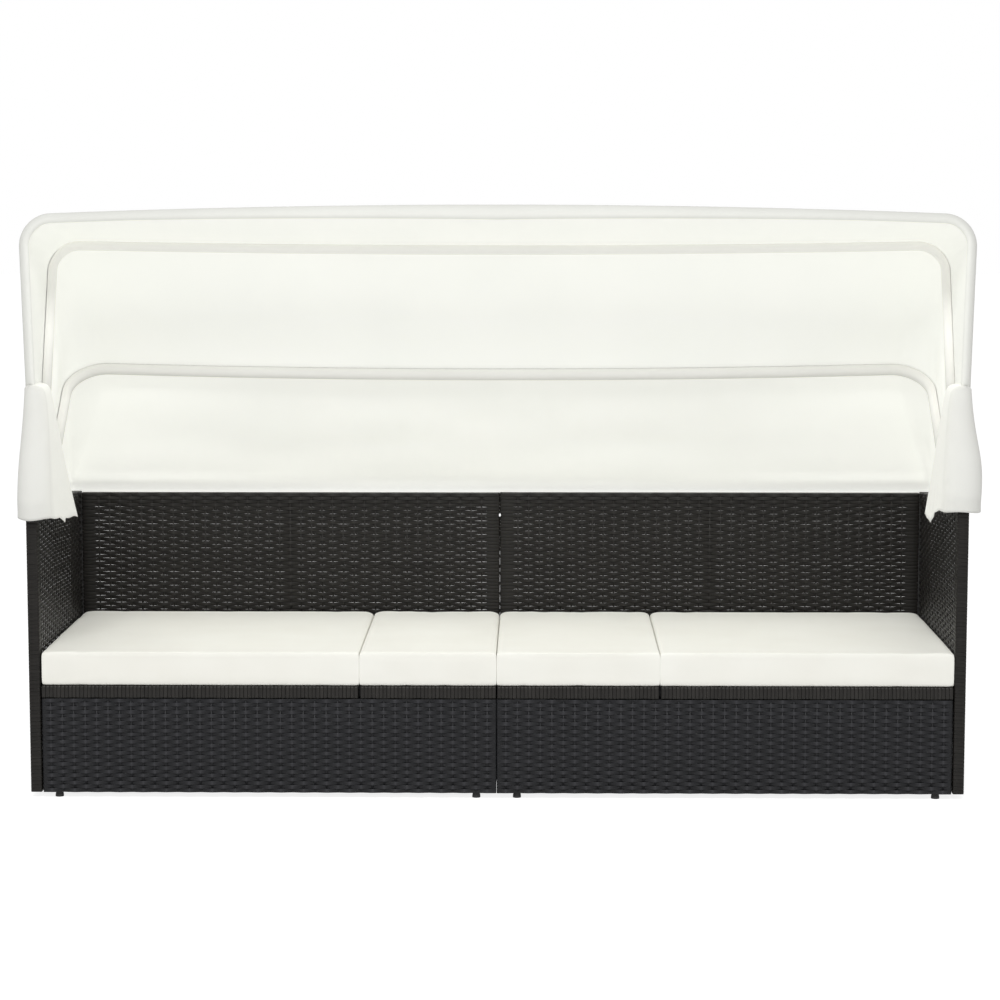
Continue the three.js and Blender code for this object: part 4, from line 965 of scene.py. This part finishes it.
def middle_and_rear_cloth():
    """The run between the middle and the back hoop, and the rear run down to the line behind the back's top,
    where it sags into a soft roll, a bell curve that deepens towards both ends, and its hem below."""
    n_middle, n_back = outward_of(WHOLE[1], WHOLE[2]), outward_of(WHOLE[2], EDGE)
    n_first = unit(outward_of(WHOLE[1], WHOLE[0]) + n_middle)
    n_last = unit(outward_of(WHOLE[2], WHOLE[1]) + n_back)
    run = run_between(WHOLE[1], WHOLE[2], n_first, n_last, PANEL_ROWS, soft_folds(0.0014, 5))
    fallen = np.linspace(0, 1, PANEL_ROWS)
    # Painted light: the middle panel glows less towards the back hoop.
    lit = 0.36 - 0.2 * smooth((fallen - 0.3) / 0.5)[:, None]
    panel = cloth_piece("canopy_middle", run, HOOD, lit)
    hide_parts("canopy_middle_panel")
    blended(panel)

    folds = soft_folds(0.0018, 9)
    towards_end = smooth((np.abs(EDGE[:, :1]) - ROLL_FROM) / (ROLL_FULL - ROLL_FROM))[None]
    roll = lambda t: folds(t) - ROLL_DEPTH * towards_end * np.exp(-(((t - 0.92) / 0.05) ** 2))
    run = run_between(WHOLE[2], EDGE - n_back * TUBE_CLOTH, n_last, n_back, REAR_ROWS, roll)
    drop = np.linspace(0, 1, 7)[1:, None, None]
    grid = np.concatenate([run, EDGE[None] * (1 - drop) + HEM[None] * drop])
    fallen = np.linspace(0, 1, len(grid))[:, None]
    sideways = smooth((np.abs(EDGE[:, 0]) - 0.5) / 0.4)[None]
    # Painted light: the rear panel glows more lower down and towards its ends, and fully at its foot and hem.
    through = 0.22 + 0.15 * smooth((fallen - 0.45) / 0.2) + 0.2 * sideways
    lit = np.maximum(through, smooth((fallen - 0.74) / 0.14))
    panel = cloth_piece("canopy_rear", grid, HOOD, lit)
    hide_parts("canopy_rear_panel")
    blended(panel)


def inner_sleeve(hoop, line, before, after, daylight):
    """A sleeve sewn under the cloth, round the inner side of a hoop on a bit more than a half circle."""
    to_before, to_after = unit(before - line), unit(after - line)
    out = unit(outward_of(line, before) + outward_of(line, after))
    side_way = unit(to_after - to_before)
    rows = [
        line + (side_way * math.sin(angle) - out * math.cos(angle)) * SLEEVE_ROUND
        for angle in np.linspace(-math.radians(105), math.radians(105), 13)
    ]
    seams = [line + way * SLEEVE_HALF[hoop] + out * (TUBE_CLOTH - 0.0035) for way in (to_before, to_after)]
    grid = np.stack([seams[0], (seams[0] + rows[0]) / 2, *rows, (seams[1] + rows[-1]) / 2, seams[1]])
    # Painted light: the sleeve glows by daylight, less near the feet.
    lit = daylight * smooth((FROM_FOOT - 0.2) / 0.6)[None]
    sleeve = cloth_piece(f"canopy_sleeve_{hoop}", grid, SLEEVE_INSIDE, lit)
    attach(sleeve, f"{hoop}_bow")


front_cloth()
middle_and_rear_cloth()
inner_sleeve("middle", WHOLE[1], WHOLE[0], WHOLE[2], 0.95)
inner_sleeve("back", WHOLE[2], WHOLE[1], EDGE, 0.36)


# Boots over the arms

BOOT_TOP = 0.8607
BOOT_CLEAR = 0.0122
BOOT_THICK = 0.025
BOOT_THICK_AT_HEM = 0.052
BOOT_FRONT = 0.07
BOOT_FRONT_AT_HEM = -0.013
BOOT_REAR = 0.16
NOSE_SHARE = 0.25
HEM_RISE = 0.036
BROAD_FOLD = 0.0016
FINE_FOLD = 0.0004
HEM_RIPPLE = 0.0018
CLOSING_SHIFT = 0.006
CLOSING_RISE = 0.007


def boot(side, sign, hem, bulge, flare, rear, point):
    """Loose cloth folded round the front of an arm: from a narrow top it widens down to its hem, in upright
    folds.

    Its outline down the arm is in powers of the share of the way down, with a sine hump of `bulge` outside,
    out to `flare` past the arm at the hem and back to `rear`. Round it runs a half ellipse in front and two
    straight layers, and the folds are sines round it that grow downwards. Its first rows close the top. point
    is the loose end that hangs under the hem of the inner layer: where it begins, its lowest place and its
    end, as shares of the way back, and how far it hangs down; it falls off from there as straight lines."""
    rows, columns, closing = 44, 120, 4
    down = np.concatenate([np.zeros(closing), np.linspace(0, 1, rows)])[:, None]
    shut = np.concatenate([np.linspace(1, 0, closing + 1)[:-1], np.zeros(rows)])[:, None]
    around = np.linspace(-1, 1, columns)[None]
    inside = ARM_OUTER - (BOOT_THICK + (BOOT_THICK_AT_HEM - BOOT_THICK) * down**0.5)
    hump = bulge * np.sin(math.pi * down**1.5) ** 2
    outside = ARM_OUTER + BOOT_CLEAR + (flare - BOOT_CLEAR) * down**1.1 + hump
    front = BOOT_FRONT + (BOOT_FRONT_AT_HEM - BOOT_FRONT) * np.minimum(1, down * 1.15)
    back = BOOT_REAR + (rear - BOOT_REAR) * down**1.6
    nose, middle = (outside - inside) / 2, (outside + inside) / 2
    layer, far = np.sign(around), np.abs(around)
    bend = np.minimum(1, far / NOSE_SHARE)
    reach = np.maximum(0, (far - NOSE_SHARE) / (1 - NOSE_SHARE))
    broad = BROAD_FOLD * (1 + layer / 2) * reach * np.sin(5 * math.pi * reach + layer) ** 2
    fine = FINE_FOLD * (1 + np.sin(12 * math.pi * reach + 3 * layer + 2 * down))
    fold = down * (1 - 0.6 * reach**3) * (broad + fine)
    x = middle - layer * (nose * np.sin(math.pi / 2 * bend) * (1 - 0.8 * shut) + fold) + CLOSING_SHIFT * shut
    straight = front + nose + (back - front - nose) * reach
    y = np.where(bend < 1, front + nose - nose * np.cos(math.pi / 2 * bend), straight)
    z = BOOT_TOP + (hem + 0.006 - HEM_RISE * reach - BOOT_TOP) * down
    z = z + HEM_RIPPLE * down**6 * np.sin(17 * around + sign) + CLOSING_RISE * np.sqrt(shut)
    z = z - down**12 * np.interp(layer * reach, point[:3], (0, point[3], 0))
    grid = np.stack([sign * x, y + SHIFT_Y, z], -1)
    # Painted light: the inner layer glows more than the nose and the outer layer.
    lit = smooth((around - 0.04) / 0.33)
    obj = cloth_piece(f"canopy_boot_cloth_{side}", grid, BOOT, lit)
    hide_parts(f"canopy_boot_{side}")
    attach(obj, "bench")


boot("left", -1, 0.5864, 0.0035, 0.0195, 0.345, (0.28, 0.48, 0.5, 0.012))
boot("right", 1, 0.6044, 0.009, 0.0265, 0.285, (0.42, 0.66, 1.0, 0.024))


# Floor and light


def seen_or_not(tree, unseen, seen):
    """One value for what the camera sees itself, and another for the light that falls on the object."""
    ray = node(tree, "ShaderNodeLightPath").outputs["Is Camera Ray"]
    return node(tree, "ShaderNodeMapRange", Value=ray, To_Min=unseen, To_Max=seen).outputs["Result"]


def make_stage():
    """A pale floor that runs out of sight, and a white surround."""
    far, under = 30, -0.0002
    corners = np.array([[x, y, under] for x, y in ((-far, -far), (far, -far), (far, far), (-far, far))])
    floor = mesh_object("studio_floor", corners, np.array([[0, 1, 2, 3]]))
    grey, white = (0.35, 0.35, 0.35, 1), (1, 1, 1, 1)
    made, tree, shader = material("studio_floor_white", Roughness=0.9, Base_Color=grey, Emission_Color=white)
    feed(tree, shader, Emission_Strength=seen_or_not(tree, 0.6, 0.84))
    floor.data.materials.append(made)
    world = bpy.data.worlds.new("studio_white")
    world.use_nodes = True
    tree = world.node_tree
    feed(tree, tree.nodes["Background"], Color=white, Strength=seen_or_not(tree, 0.5, 1.0))
    bpy.context.scene.world = world


def area_light(name, place, target, size, power):
    """A rectangular light at a place, turned to face its target."""
    data = bpy.data.lights.new(name, "AREA")
    data.shape = "RECTANGLE"
    data.size, data.size_y = size
    data.energy = power
    light = placed(name, data)
    back = np.array(place, float) - np.array(target, float)
    light.location = place
    yaw = math.atan2(back[0], -back[1])
    pitch = math.atan2(math.hypot(back[0], back[1]), back[2])
    light.rotation_euler = (pitch, 0, yaw)


make_stage()
area_light("high_softbox", (-0.3, -3.7, 5.0), (0, 0, 0.5), (3.6, 1.8), 215)
area_light("low_softbox", (0.2, -4.6, 0.7), (0, 0, 0.7), (3.0, 0.8), 2)
bpy.context.scene.view_settings.view_transform = "Standard"
